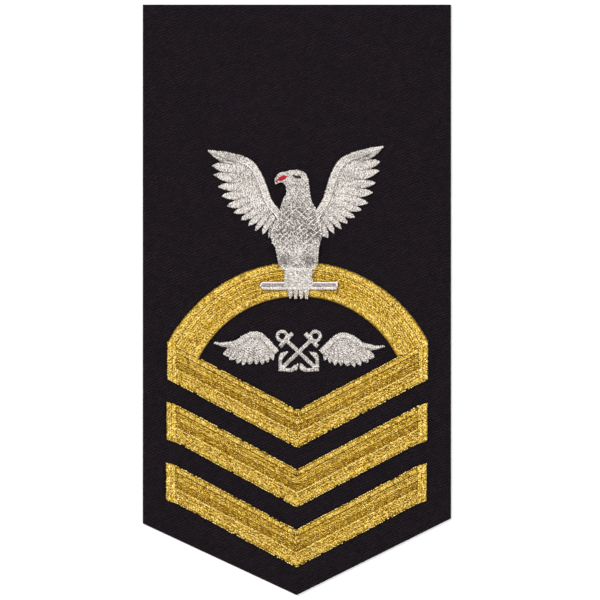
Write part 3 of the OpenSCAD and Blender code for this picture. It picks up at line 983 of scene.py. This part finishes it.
def with_fine_rims(low, high):
    """Steps from low to high, close together at both ends."""
    inner = EDGE_STEPS[-1] + STEP
    count = round((high - low - 2 * inner) / STEP)
    middle = np.linspace(low + inner, high - inner, count + 1)
    return np.concatenate([low + EDGE_STEPS, middle, (high - EDGE_STEPS)[::-1]])


def cloth_grid():
    """The panel's top as a grid, and how far each of its points lies from the edge."""
    across = with_fine_rims(left_x, right_x)
    across[np.abs(across - tip_x).argmin()] = tip_x
    share = with_fine_rims(0, top_y - tip_y) / (top_y - tip_y)
    x = np.repeat(across[:, None], len(share), axis=1)
    foot = np.interp(x, [left_x, tip_x, right_x], [left_y, tip_y, right_y])
    y = foot + (top_y - foot) * share
    slant = math.cos(math.atan2(POINT_HEIGHT, right_x))
    depth = np.minimum.reduce([x - left_x, right_x - x, top_y - y, (y - foot) * slant])
    return x, y, np.maximum(depth, 0)


grid_x, grid_y, edge_depth = cloth_grid()
print("cloth grid:", grid_x.shape)

# %% [markdown]
# ## The cloth's relief
#
# Four slow waves, two of which bend the other two, make puckers that never repeat in a visible
# way. They only go downward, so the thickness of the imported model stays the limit. The underside is
# flat, because the badge lies on a table, and one wall all round closes the panel.

# %% Cloth panel
EDGE_ROUND = 0.4 * MM
PUCKER = 0.06 * MM
CREASE = 0.35 * MM
CREASE_AT = (-47, -29)
CREASE_SIZE = (5, 1.6)
SHARP_ANGLE = 50


def cloth_top(x, y, depth):
    """Height of the top: flat, with rounded edges, shallow puckers and one soft crease on the left."""
    near = np.clip(EDGE_ROUND - depth, 0, None)
    edge = EDGE_ROUND - np.sqrt(EDGE_ROUND**2 - near**2)
    a, b = x / MM, y / MM
    wave = np.sin(0.31 * a + 0.9 * np.sin(0.11 * b)) * np.sin(0.27 * b + 0.7 * np.sin(0.13 * a))
    right, up = (a - CREASE_AT[0]) / CREASE_SIZE[0], (b - CREASE_AT[1]) / CREASE_SIZE[1]
    crease = np.exp(-(right**2) - up**2)
    return cloth_high.z - edge - PUCKER * (1 + wave) / 2 - CREASE * crease


def closed_panel(x, y, top):
    """Points and faces of the panel: the grid, its flat copy below, and the wall between them."""
    heights = (top, np.zeros_like(top))
    points = np.vstack([np.column_stack([x.ravel(), y.ravel(), z.ravel()]) for z in heights])
    count = x.size
    number = np.arange(count).reshape(x.shape)
    quads = [number[:-1, :-1], number[1:, :-1], number[1:, 1:], number[:-1, 1:]]
    quads = np.stack(quads, axis=-1).reshape(-1, 4)
    rim = np.concatenate([number[:, 0], number[-1, 1:], number[-2::-1, -1], number[0, -2:0:-1]])
    after = np.roll(rim, -1)
    wall = np.stack([rim + count, after + count, after, rim], axis=1)
    return points, quads.tolist() + (quads[:, ::-1] + count).tolist() + wall.tolist()


panel_points, panel_faces = closed_panel(grid_x, grid_y, cloth_top(grid_x, grid_y, edge_depth))
cloth = mesh_piece("cloth_panel", panel_points, panel_faces, {}, MATERIALS["dark_cloth"])
cloth.data.set_sharp_from_angle(angle=math.radians(SHARP_ANGLE))
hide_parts("backing_cloth")
print("cloth points:", len(cloth.data.vertices))

# %% [markdown]
# ## Frames of the chevrons
#
# Each chevron is a satin frame round a filled band. In the frame the thread runs square to the
# edge, over a padding that lifts it. At the two ends the frame is wider and has two columns side by
# side. Outside the rails runs a line of short stitches, which holds the edge down and looks like a
# row of beads. All of them come from the same outline, so they fit each other.

# %% Chevron frames
END_COLUMNS = 2.9 * MM
RAIL_OVERLAP = 0.3 * MM
RIM_REACH = 3.0 * MM
BEAD_ROW = 0.42 * MM
BEAD_SPACING = 0.72 * MM
BEAD_INSET = 0.1 * MM
BEAD_WIDTH = 0.4 * MM
BEAD_SINK = 0.5 * MM
BEAD_TOP = -0.15 * MM
BEADS_KEPT = 0.92
BEAD_DRIFT = 0.08 * MM


def end_columns(outer, half):
    """Level satin lines in two columns at both ends of a chevron's frame."""
    heights = np.arange(outer[:, 1].min(), outer[:, 1].max(), PITCH)
    middle = half - END_COLUMNS / 2
    lines = []
    for side in (-1, 1):
        for near, far in ((half - END_COLUMNS, middle), (middle, half + MM)):
            start, end = np.full(len(heights), side * near), np.full(len(heights), side * far)
            lines.append(clip(np.column_stack([start, heights, end, heights]), [outer]))
    return np.vstack(lines)


def reach_of(lines):
    """How far the lines reach from the badge's middle line."""
    return np.abs(lines[:, [0, 2]]).max(axis=1)


def frame_loops(node):
    """The two outlines of a chevron's frame, the outer one first."""
    return sorted(OUTLINES[node], key=lambda loop: -np.ptp(loop[:, 0]))


def frame_rows(node):
    """The stitches of a chevron's frame: satin rails, end columns and a line of beads outside them."""
    outer, inner = frame_loops(node)
    half = outer[:, 0].max()
    rails = satin(outer, [outer, inner], RIM_REACH, BEAD_ROW)
    rails = rails[reach_of(rails) < half - END_COLUMNS + RAIL_OVERLAP]
    lower = (rails[:, 3] > rails[:, 1])[:, None]
    lower_rails = ragged(rails, spread=0.1 * MM, longer=(0.06 * MM, 0.16 * MM))
    rails = np.where(lower, lower_rails, ragged(rails, spread=0.06 * MM))
    columns = ragged(end_columns(outer, half), spread=0.1 * MM, longer=(0.04 * MM, 0.04 * MM))
    edge = beads(outer, BEAD_SPACING, BEAD_INSET)
    edge = edge[reach_of(edge) < half - BEAD_WIDTH]
    edge = ragged(edge[rng.random(len(edge)) < BEADS_KEPT], spread=BEAD_DRIFT)
    edge[:, [1, 3]] += rng.normal(0, BEAD_DRIFT, (len(edge), 1))
    beaded = arched(node, BEAD_SINK, BEAD_SINK, BEAD_TOP)
    rows = [
        stitches(rails, arched(node, SHALLOW * 2), shade=0.8, spread=0.15),
        stitches(columns, arched(node), shade=0.85),
        stitches(edge, beaded, shade=1.15, width=BEAD_WIDTH, spread=0.4),
    ]
    return np.vstack(rows)


frame_width = np.ptp(frame_loops("chevron_lower_border")[0][:, 0])
print("a chevron's frame is", round(frame_width / MM, 1), "mm wide")

# %% [markdown]
# ## Fields of the chevrons
#
# The band inside a frame is filled with upright stitches in six rows that follow the arms. Their
# lengths differ, and the widest row, below the middle, catches the least light. That gives the band
# its stripes. Cutting every upright line at the same shares keeps the rows parallel to the arms
# without any drawing of their own.

# %% Chevrons
ROW_CUTS = [0, 0.14, 0.26, 0.36, 0.66, 0.83, 1]
ROW_SHADES = [0.92, 0.72, 1.12, 0.34, 0.76, 0.6]
CUSHION_IN = 0.28 * MM
CUSHION_OVER = 0.06 * MM


def field_rows(node):
    """The stitches of a chevron's filled band, in rows along the arms."""
    lines = hatch(OUTLINES[node], angle=90)
    lines = ragged(lines, spread=0.05 * MM, longer=(0.06 * MM, 0.06 * MM))
    shade = np.repeat(ROW_SHADES, len(lines))
    return stitches(banded(lines, ROW_CUTS, spread=0.025), arched(node), shade)


for which in ("lower", "middle", "upper"):
    node = f"chevron_{which}_border"
    outer, inner = frame_loops(node)
    cushion = [shrunk(outer, CUSHION_IN), shrunk(inner, -CUSHION_OVER)]
    rows = frame_rows(node)
    sew(node, "gold_thread_border", rows, cushion, LONG_RINGS, lift=0.3 * MM, inset=0.0)
    node = f"chevron_{which}_field"
    sew(node, "gold_thread_field", field_rows(node), base=0.4)

# %% [markdown]
# ## The arc's circle
#
# The arc is sewn like the chevrons, only bent: every stitch points away from the arc's centre. The
# centre isn't stored anywhere, but it is the middle of the circle through the outer edge. A least
# squares fit finds it from the outline, which is more exact than any reading by eye.

# %% Circle of the arc
def circle(points):
    """Centre and radius of the circle that fits the points best."""
    table = np.column_stack([2 * points, np.ones(len(points))])
    (x, y, rest), *_ = np.linalg.lstsq(table, (points**2).sum(axis=1), rcond=None)
    return np.array([x, y]), math.sqrt(rest + x * x + y * y)


def outer_arc(node):
    """The points on the outer curve of one of the arc's pieces."""
    loop = OUTLINES[node][0]
    centre, radius = circle(loop)
    return loop[length_of(loop - centre) > radius]


arc_centre, arc_radius = circle(outer_arc("arc_outer_border"))
_, field_radius = circle(outer_arc("arc_field"))
_, inner_radius = circle(outer_arc("arc_inner_border"))
print("arc centre", arc_centre / MM, "radii", arc_radius / MM, field_radius / MM, inner_radius / MM)

# %% [markdown]
# ## Gold arc
#
# Both borders are one row of satin that dips at its free side. The field between them is sewn in
# four rings. The needle holes of neighbouring rings line up along the arc and draw the fine dotted
# curves. Behind the eagle's tail the gold lies in shade, so it gets darker toward the middle.

# %% Arc
FAN_MARGIN = 3 * MM
ARC_RINGS = np.array([-0.1, 2.1, 3.5, 4.9, 6.5]) * MM
ARC_OVER = -0.04 * MM
BORDER_SHADE = 0.83
SHADE_AT = [0.3, 1.2, 2.2, 4, 6]
SHADE_THERE = [0.74, 0.93, 0.76, 0.88, 0.76]
TAIL_SHADE, TAIL_REACH = 0.3, 20 * MM


def arc_field_rows(node):
    """Ring after ring of stitches that point away from the arc's centre."""
    rings = (field_radius - ARC_RINGS)[::-1]
    lines = fan(arc_centre, rings, OUTLINES[node], spread=0.06 * MM)
    away = field_radius - length_of(middle_of(lines) - arc_centre)
    shade = np.interp(away / MM, SHADE_AT, SHADE_THERE)
    lines = ragged(lines, spread=0.05 * MM, longer=(0.1 * MM, 0.1 * MM))
    shade = shade - TAIL_SHADE * np.exp(-((middle_of(lines)[:, 0] / TAIL_REACH) ** 2))
    return stitches(lines, arched(node, SHALLOW * 2, SHALLOW * 2), shade, spread=0.12)


low, high = level("arc_outer_border")
for node, near, far, spread, longer, heights in (
    ("arc_outer_border", field_radius, arc_radius, 0.15, (0.22, 0.1), (high - SHALLOW, high, low)),
    ("arc_inner_border", inner_radius, inner_radius, 0.12, (0.05, 0.22), (low, high, high - SHALLOW)),
):
    lines = fan(arc_centre, [near - FAN_MARGIN, far + FAN_MARGIN], OUTLINES[node])
    lines = ragged(lines, spread * MM, np.array(longer) * MM)
    rows = stitches(lines, heights, BORDER_SHADE)
    sew(node, "gold_thread_border", rows, rings=LONG_RINGS, base=0.4, inset=ARC_OVER)
sew("arc_field", "gold_thread_field", arc_field_rows("arc_field"), base=0.4, inset=ARC_OVER)

# %% [markdown]
# ## Gaps between feathers
#
# The saw edge of a wing has one hollow corner between each two feathers. On the real wing a dark
# line runs from there a few millimetres inward and fades. The hollow corners are the ones that
# bend to the right, and the nearness to a line from each of them gives the shade.

# %% Feather gaps
NOTCH_LENGTH = 4.5 * MM
GAP_WIDTH = 0.24 * MM
GAP_END = 0.35
HOLLOW_BEND = -0.4
BAND_MARGIN = 0.4 * MM


def notches(loop, edge_loop):
    """Which corners of the saw edge are hollow ones, away from the front band."""
    before, after = loop - np.roll(loop, 1, axis=0), np.roll(loop, -1, axis=0) - loop
    bend = before[:, 0] * after[:, 1] - before[:, 1] * after[:, 0]
    bend /= length_of(before) * length_of(after)
    away = length_of(loop[:, None] - edge_loop).min(axis=1)
    return (bend < HOLLOW_BEND) & (away > BAND_MARGIN)


def near_lines(place, starts, spot):
    """How near a place is to lines from the starts towards the spot: 1 on one, 0 away from all."""
    way = unit(spot - starts)
    gap = place[:, None] - starts
    along = np.clip((gap * way).sum(axis=2), 0, NOTCH_LENGTH)
    away = length_of(gap - along[..., None] * way)
    fade = GAP_END + (1 - GAP_END) * (1 - along / NOTCH_LENGTH)
    return (np.exp(-((away / GAP_WIDTH) ** 2)) * fade).max(axis=1)


hollows = notches(OUTLINES["wing_left"][0], OUTLINES["wing_left_edge"][0])
print("notches in the left wing:", hollows.sum())

# %% [markdown]
# ## Feathers and their front band
#
# The feathers' stitches all point away from one spot, so that they swing round from nearly level at
# the tip to nearly upright at the breast. They are sewn in rings round that spot. The band in front
# is satin in two rows, square to the wing's edge, and its stitches start by turns a little further
# out, which gives the edge fine teeth.

# %% Feathers and band
BAND_REACH = 3.2 * MM
BAND_CUTS = [0, 0.4, 1]
BAND_STRIPES = (0.14, -0.1)
BAND_ROWS = (0.1, -0.04)
TOOTH = 0.22 * MM
FEATHER_INSET = 0.12 * MM
FEATHER_OVERLAP = 0.65 * MM
GAP_SHADE = 1.4
BEHIND_SHADE, BEHIND_REACH = 0.12, 0.5 * MM


def band_rows(node, shade):
    """Satin stitches square to the outer edge of a wing's front band."""
    loop = OUTLINES[node][0]
    lines = toothed(satin(loop, [loop], BAND_REACH), TOOTH)
    lines = ragged(lines, spread=0.1 * MM, longer=(0.05 * MM, 0.1 * MM))
    stripe = np.where(np.arange(len(lines)) % 2, *BAND_STRIPES)
    lines = banded(lines, BAND_CUTS, spread=0.06)
    stripe = np.concatenate([stripe + lighter for lighter in BAND_ROWS])
    return stitches(lines, arched(node, SHALLOW * 2), shade(middle_of(lines) / MM) + stripe)


def feather_rows(name, spot, rings, shade, deeper):
    """Feather stitches that point away from a spot, with darker gaps, and the outline they fill."""
    loop, band = OUTLINES[name][0].copy(), OUTLINES[name + "_edge"][0]
    hollow = notches(loop, band)
    starts = loop[hollow]
    loop[hollow] += unit(spot - starts) * deeper
    lines = fan(spot, rings, [shrunk(loop, FEATHER_INSET)], FEATHER_OVERLAP)
    lines = ragged(lines, spread=0.06 * MM, longer=(0.1 * MM, 0.06 * MM))
    place = middle_of(lines)
    band = np.vstack([band, walk(band, MM)[0]])
    behind = length_of(lines[:, None, :2] - band).min(axis=1) < BEHIND_REACH
    gaps = near_lines(place, starts, spot)
    # A painted shade line darkens the feathers right behind the band's raised edge.
    lightness = shade(place / MM) - GAP_SHADE * deeper / MM * gaps - BEHIND_SHADE * behind
    heights = arched(name, SHALLOW / 2, SHALLOW / 2)
    return stitches(lines, heights, lightness, spread=0.06), [loop]


print("teeth of the band:", round(TOOTH / MM, 2), "mm")

# %% [markdown]
# ## Silver wings
#
# The wings are nearly white, with two greyer places near the tip, where the real feathers lie in the
# shade of the band. A soft oval patch is enough for each. A grey painted by hand would need a
# picture, and a patch needs four numbers.

# %% Wings
WING_SPOT = np.array([1.6, 39.0]) * MM
WING_RINGS = np.arange(3, 36, 1.5) * MM
WING_NOTCH = 0.5 * MM


def patch(place, x, y, wide, tall):
    """1 in the middle of a soft oval patch at x, y in millimetres, and 0 away from it."""
    return np.exp(-(((place[:, 0] - x) / wide) ** 2) - ((place[:, 1] - y) / tall) ** 2)


def wing_shade(side):
    """Gives the lightness over a wing on that side: nearly white, with two grey places."""

    def shade(place):
        grey = patch(place, side * 21, 45.4, 5.0, 1.7) + 0.7 * patch(place, side * 17, 39, 3.5, 1.5)
        return 0.7 - 0.36 * grey

    return shade


def sew_wing(name, spot, rings, shade, notch, base, edge_inset):
    """A wing and its front band."""
    rows, outline_deeper = feather_rows(name, spot, rings, shade, notch)
    sew(name, "silver_thread", rows, outline_deeper, base=base)
    rows = band_rows(name + "_edge", shade)
    sew(name + "_edge", "silver_thread", rows, rings=LONG_RINGS, inset=edge_inset)


for side, name in ((-1, "wing_left"), (1, "wing_right")):
    spot = WING_SPOT * (side * -1, 1)
    sew_wing(name, spot, WING_RINGS, wing_shade(side), WING_NOTCH, base=0.1, edge_inset=0.04 * MM)

# %% [markdown]
# ## Plain fillings
#
# Head, breast and tail are filled with short parallel stitches. The lines are made a little longer
# than the outline allows and are then cut, so that the edge comes out softly uneven. How light each
# stitch is depends on where it lies, so every filling takes a small function of place.

# %% Plain fillings
def even_shade(value):
    """Gives the same lightness everywhere."""
    return lambda place: np.full(len(place), value)


def fill_rows(node, angle, shade, length, spread=0.16, reach=0.1 * MM):
    """A plain filling at an angle, with the lightness that shade gives by place."""
    lines = ragged(hatch(OUTLINES[node], angle), spread=reach, longer=(reach, reach))
    lines = ragged(split(lines, length), spread=reach)
    return stitches(lines, arched(node), shade(middle_of(lines) / MM), spread=spread)


head_size = np.ptp(OUTLINES["eagle_head"][0], axis=0) / MM
print("head and neck:", head_size.round(1), "mm")

# %% [markdown]
# ## The breast
#
# The breast is worked in a darker mix and then crossed by brighter slanting rows, which draw small
# diamonds, like short feathers. The thighs keep two grey patches. A third of the slanting stitches
# is left out by chance, because a whole lattice would look like a net thrown over the bird.

# %% Breast
DIAMOND = 1.75 * MM
LATTICE_ANGLES = (42, 138)
LATTICE_KEPT = 0.66
LATTICE_WIDTH = 0.34 * MM
THIGH_PATCHES = [(-4.1, 12.7, 2.4, 1.7), (3.8, 12.5, 2.9, 1.9)]
BETWEEN_PATCH = (0.1, 14.2, 1.6, 2.6)
LATTICE_LOW, LATTICE_HIGH = 14.5 * MM, 29.5 * MM
THIGH_TOP, THIGH_GAP = 17 * MM, 1.6 * MM


def breast_shade(place):
    """Grey over the breast and on two thigh patches, white between them and at the shoulders."""
    x, y = place[:, 0], place[:, 1]
    edge = np.clip((np.abs(x) - 4.2 - 0.28 * (31 - y)) / 1.2, 0, 1)
    breast = np.clip((y - 16) / 4, 0, 1) * np.clip((33.5 - y) / 3, 0, 1) * (1 - edge)
    thighs = sum(patch(place, *numbers) for numbers in THIGH_PATCHES)
    lower = np.clip((24 - y) / 4, 0, 1) * 0.07
    return 0.74 - 0.42 * breast - 0.48 * thighs - lower + 0.2 * patch(place, *BETWEEN_PATCH)


def lattice_rows(node):
    """Brighter slanting stitches in two directions over the breast, some of them left out."""
    rows = []
    for angle in LATTICE_ANGLES:
        lines = hatch(OUTLINES[node], angle, pitch=DIAMOND * 0.72)
        lines = split(lines, length=DIAMOND * 0.55, drift=0.5)
        lines = ragged(lines + rng.normal(0, 0.1 * MM, (len(lines), 1)), spread=0.15 * MM)
        x, y = middle_of(lines).T
        kept = (y > LATTICE_LOW) & (y < LATTICE_HIGH) & (rng.random(len(lines)) < LATTICE_KEPT)
        kept &= (y > THIGH_TOP) | (np.abs(x) > THIGH_GAP)
        heights = arched(node, more=0.04 * MM)
        rows.append(stitches(lines[kept], heights, shade=1.0, width=LATTICE_WIDTH, spread=0.25))
    return np.vstack(rows)


samples = np.array([(0.0, 27.0), THIGH_PATCHES[0][:2], BETWEEN_PATCH[:2]])
print("lightness of breast, thigh and between:", breast_shade(samples).round(2))

# %% [markdown]
# ## Joints of the eagle
#
# Where the wings meet the body, a few bright strands run over the joint, and the body's lower end
# has a fringe of short stitches. Both cover a seam between two fillings, as they do on the badge.
# The strands are too few for a rule, so each is given by its two ends in millimetres.

# %% Strands and fringe
SHOULDER_STITCHES = [
    (-7.6, 28.3, -5.6, 26.6),
    (-7.3, 28.9, -5.5, 27.2),
    (-7.6, 27.6, -5.9, 26.0),
    (-7.2, 27.0, -5.8, 25.4),
    (-6.9, 29.2, -5.4, 27.9),
    (8.2, 28.5, 6.2, 26.7),
    (7.9, 29.1, 6.1, 27.4),
    (8.2, 27.8, 6.5, 26.1),
    (7.8, 27.2, 6.5, 25.5),
    (7.5, 29.4, 6.0, 28.1),
]
FRINGE_REACH = 1.3 * MM
FRINGE_SPACING = 0.62 * MM
FRINGE_OUT = 0.05 * MM
FRINGE_KEPT = 0.9


def joint_rows(node):
    """Bright strands over the joints with the wings, and beads along the body's lower end."""
    strands = ragged(np.array(SHOULDER_STITCHES) * MM, spread=0.15 * MM)
    fringe = beads(OUTLINES[node][0], FRINGE_SPACING, -FRINGE_OUT)
    foot = OUTLINES[node][0][:, 1].min()
    kept = (fringe[:, 1] < foot + FRINGE_REACH) & (rng.random(len(fringe)) < FRINGE_KEPT)
    heights = arched(node, SHALLOW * 2, SHALLOW * 2, 0.05 * MM)
    strands = stitches(strands, heights, shade=0.95, width=0.42 * MM, spread=0.2)
    fringe = stitches(fringe[kept], heights, shade=1.5, width=0.46 * MM, spread=0.3)
    return np.vstack([strands, fringe])


print("strands over the joints:", len(SHOULDER_STITCHES))

# %% [markdown]
# ## Eagle
#
# Head, neck and tail are plain silver in short, nearly upright stitches, with a greyer throat that
# leads into the breast. The body's stitches and its cushion reach a little past its outline, so
# that no dark line is left between the breast and the lowest feathers.

# %% Body, head and tail
BREAST_REACH = 0.18 * MM
BODY_OVER = 0.1 * MM
THROAT_PATCH = (0.3, 36, 2.2, 1.3)


def neck_shade(place):
    """White, with a greyer throat that leads into the breast."""
    x, y = place[:, 0], place[:, 1]
    throat = np.clip((34.5 - y) / 4, 0, 1) * np.clip(1.3 - np.abs(x - 0.2) / 3.5, 0, 1)
    return 0.72 - 0.25 * throat - 0.15 * patch(place, *THROAT_PATCH)


breast = fill_rows("eagle_body", 86, breast_shade, length=MM, spread=0.25, reach=BREAST_REACH)
rows = np.vstack([breast, lattice_rows("eagle_body"), joint_rows("eagle_body")])
sew("eagle_body", "silver_thread", rows, base=0.2, inset=-BODY_OVER)
rows = fill_rows("eagle_head", 80, neck_shade, length=0.9 * MM, spread=0.28)
sew("eagle_head", "silver_thread", rows, base=0.2)
rows = fill_rows("eagle_tail", 90, even_shade(0.8), length=1.2 * MM)
sew("eagle_tail", "silver_thread", rows, base=0.2)

# %% [markdown]
# ## Perch
#
# The eagle stands on a lilac grey bar. Its upper row stops at both sides of the tail, and the tail
# is sewn before it. Where the level line between the two rows enters and leaves the tail's outline
# shows where to stop, so nothing has to be measured here either.

# %% Perch
PERCH_ROW = 1.1 * MM
PERCH_RIM = 0.4 * MM
PERCH_POINT = 0.9 * MM
SLAB_TOP = 2.5 * MM
SLAB = (SLAB_TOP - SHALLOW, SLAB_TOP, SLAB_TOP - SHALLOW)


def rectangle(low_x, low_y, high_x, high_y):
    """A rectangle's corners, with the inside on the left."""
    return np.array([(low_x, low_y), (high_x, low_y), (high_x, high_y), (low_x, high_y)])


perch_low, perch_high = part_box("perch_bar")
step_y = perch_low.y + PERCH_ROW
level_line = np.array([[perch_low.x, step_y, perch_high.x, step_y]])
tail_left, _, tail_right, _ = clip(level_line, OUTLINES["eagle_tail"])[0]
halves = [
    rectangle(perch_low.x, step_y, tail_left, perch_high.y),
    rectangle(tail_right, step_y, perch_high.x, perch_high.y),
]
halves[0][3] += (PERCH_POINT, 0)
upper_lines = np.vstack([hatch([half], angle=78) for half in halves])
upper_lines = ragged(upper_lines, spread=0.08 * MM, longer=(0.05 * MM, -PERCH_RIM / 2))
rows = stitches(upper_lines, SLAB, shade=0.42)
sew("perch_bar", "lilac_grey_thread", rows, halves, lift=0.6 * MM)

# %% [markdown]
# ## White trim of the perch
#
# The bar's lower row is white and runs on over the tail, and a thin white rim goes round the upper
# row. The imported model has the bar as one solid, so this trim is an extra piece, which simply rides
# along. It needs no cushion, because the bar's own lies under it.

# %% Perch trim
RIM_STITCH = 0.8 * MM
RIM_OVER = 0.1 * MM

rim_y = perch_high.y - PERCH_RIM
lower_row = rectangle(perch_low.x, perch_low.y, perch_high.x, step_y)
lower_row[0] += (PERCH_POINT, 0)
lower_lines = ragged(hatch([lower_row], angle=84), spread=0.12 * MM, longer=(0, -0.05 * MM))
rim_ends = [
    (perch_low.x + 0.8 * MM, rim_y, tail_left, rim_y),
    (tail_right, rim_y, perch_high.x, rim_y),
    (perch_low.x, step_y, perch_low.x + 0.6 * MM, rim_y),
    (perch_high.x, step_y, perch_high.x, perch_high.y),
]
rim_lines = ragged(split(np.array(rim_ends), RIM_STITCH), spread=0.05 * MM)
lower_heights = (perch_low.z, perch_high.z, SLAB_TOP)
lower_rows = stitches(lower_lines, lower_heights, shade=1.0, spread=0.25)
rim_heights = [height + RIM_OVER for height in SLAB]
rim_rows = stitches(rim_lines, rim_heights, shade=1.25, width=0.45 * MM, spread=0.2)
trim_points, trim_faces, trim_values = tubes(np.vstack([lower_rows, rim_rows]), LONG_RINGS)
trim = mesh_piece("perch_bar_trim", trim_points, trim_faces, trim_values, MATERIALS["silver_thread"])
print("perch trim:", len(lower_rows) + len(rim_rows), "stitches")

# %% [markdown]
# ## Beak and eye
#
# Five red stitches make the beak and three black ones the eye. At this size every stitch counts,
# so each is given by its two ends in millimetres. A soft fill colour on the head would
# have clean edges, and those are just what embroidery doesn't have.

# %% Beak and eye
BEAK_STITCHES = [
    (-5.78, 38.53, -3.88, 39.36),
    (-6.04, 38.22, -3.47, 39.17),
    (-6.32, 37.90, -3.12, 39.01),
    (-5.47, 37.74, -3.57, 38.44),
    (-6.35, 37.93, -6.61, 37.11),
]
EYE_STITCHES = [
    (-1.50, 39.33, 0.71, 38.57),
    (-0.71, 39.07, 1.06, 38.93),
    (-0.87, 38.76, 1.10, 38.60),
]
for node, slot, places, width in (
    ("beak", "red_thread", BEAK_STITCHES, 0.42),
    ("eye", "black_thread", EYE_STITCHES, 0.52),
):
    lines = np.array(places) * MM
    heights = arched(node, SHALLOW * 2, SHALLOW * 2)
    rows = stitches(lines, heights, shade=0.6, width=width * MM)
    sew(node, slot, rows, rings=LONG_RINGS, base=0.4, lift=0.3 * MM, inset=0.25 * MM)

# %% [markdown]
# ## Small wings of the emblem
#
# The small wings repeat the large ones at half their size, so the same step sews them. Only the
# spot that the feathers point away from, the rings round it and the depth of the notches change.

# %% Small wings
WINGLET_SPOT = np.array([13.5, -6.5]) * MM
WINGLET_RINGS = np.arange(2.5, 18, 1.5) * MM
WINGLET_NOTCH = 0.3 * MM

winglet_shade = even_shade(0.6)
for side, name in ((-1, "winglet_left"), (1, "winglet_right")):
    spot = WINGLET_SPOT * (side, 1)
    sew_wing(name, spot, WINGLET_RINGS, winglet_shade, WINGLET_NOTCH, base=0.2, edge_inset=0.1 * MM)

# %% [markdown]
# ## Anchors
#
# The anchors are narrow satin columns, so their thread simply runs across from edge to edge. The
# left one is the right one's mirror image. It passes over the other and is lifted where they cross,
# and not over its whole length, because thread drapes over what lies below it.

# %% Anchors
ANCHOR_REACH = 2.3 * MM
ANCHOR_PITCH = 0.55 * MM
CROSSING_Y = -16.9 * MM
CROSSING_REACH = 1.7 * MM
CROSSING_LIFT = 0.35 * MM

mirror_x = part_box("anchor_left")[0].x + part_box("anchor_right")[1].x
crossing = np.array([mirror_x / 2, CROSSING_Y])
right_plan = OUTLINES["anchor_right"]
left_plan = [(loop * (-1, 1) + (mirror_x, 0))[::-1] for loop in right_plan]


def anchor_rows(loops, lift):
    """Satin across an anchor's narrow parts, lifted near the crossing."""
    low, high = level("anchor_right")
    lines = np.vstack([satin(loop, loops, ANCHOR_REACH, pitch=ANCHOR_PITCH) for loop in loops])
    lines = ragged(lines, spread=0.1 * MM, longer=(-0.03 * MM, -0.05 * MM))
    away = length_of(middle_of(lines) - crossing)
    raised = lift * np.clip(2 - away / CROSSING_REACH, 0, 1)
    heights = (low + raised, high + raised, low + raised)
    return stitches(lines, heights, shade=0.68, width=0.4 * MM, spread=0.25)


for node, plan, lift in (
    ("anchor_right", right_plan, 0),
    ("anchor_left", left_plan, CROSSING_LIFT),
):
    rows = anchor_rows(plan, lift)
    sew(node, "silver_thread", rows, plan, LONG_RINGS, inset=0.1 * MM, like="anchor_right")
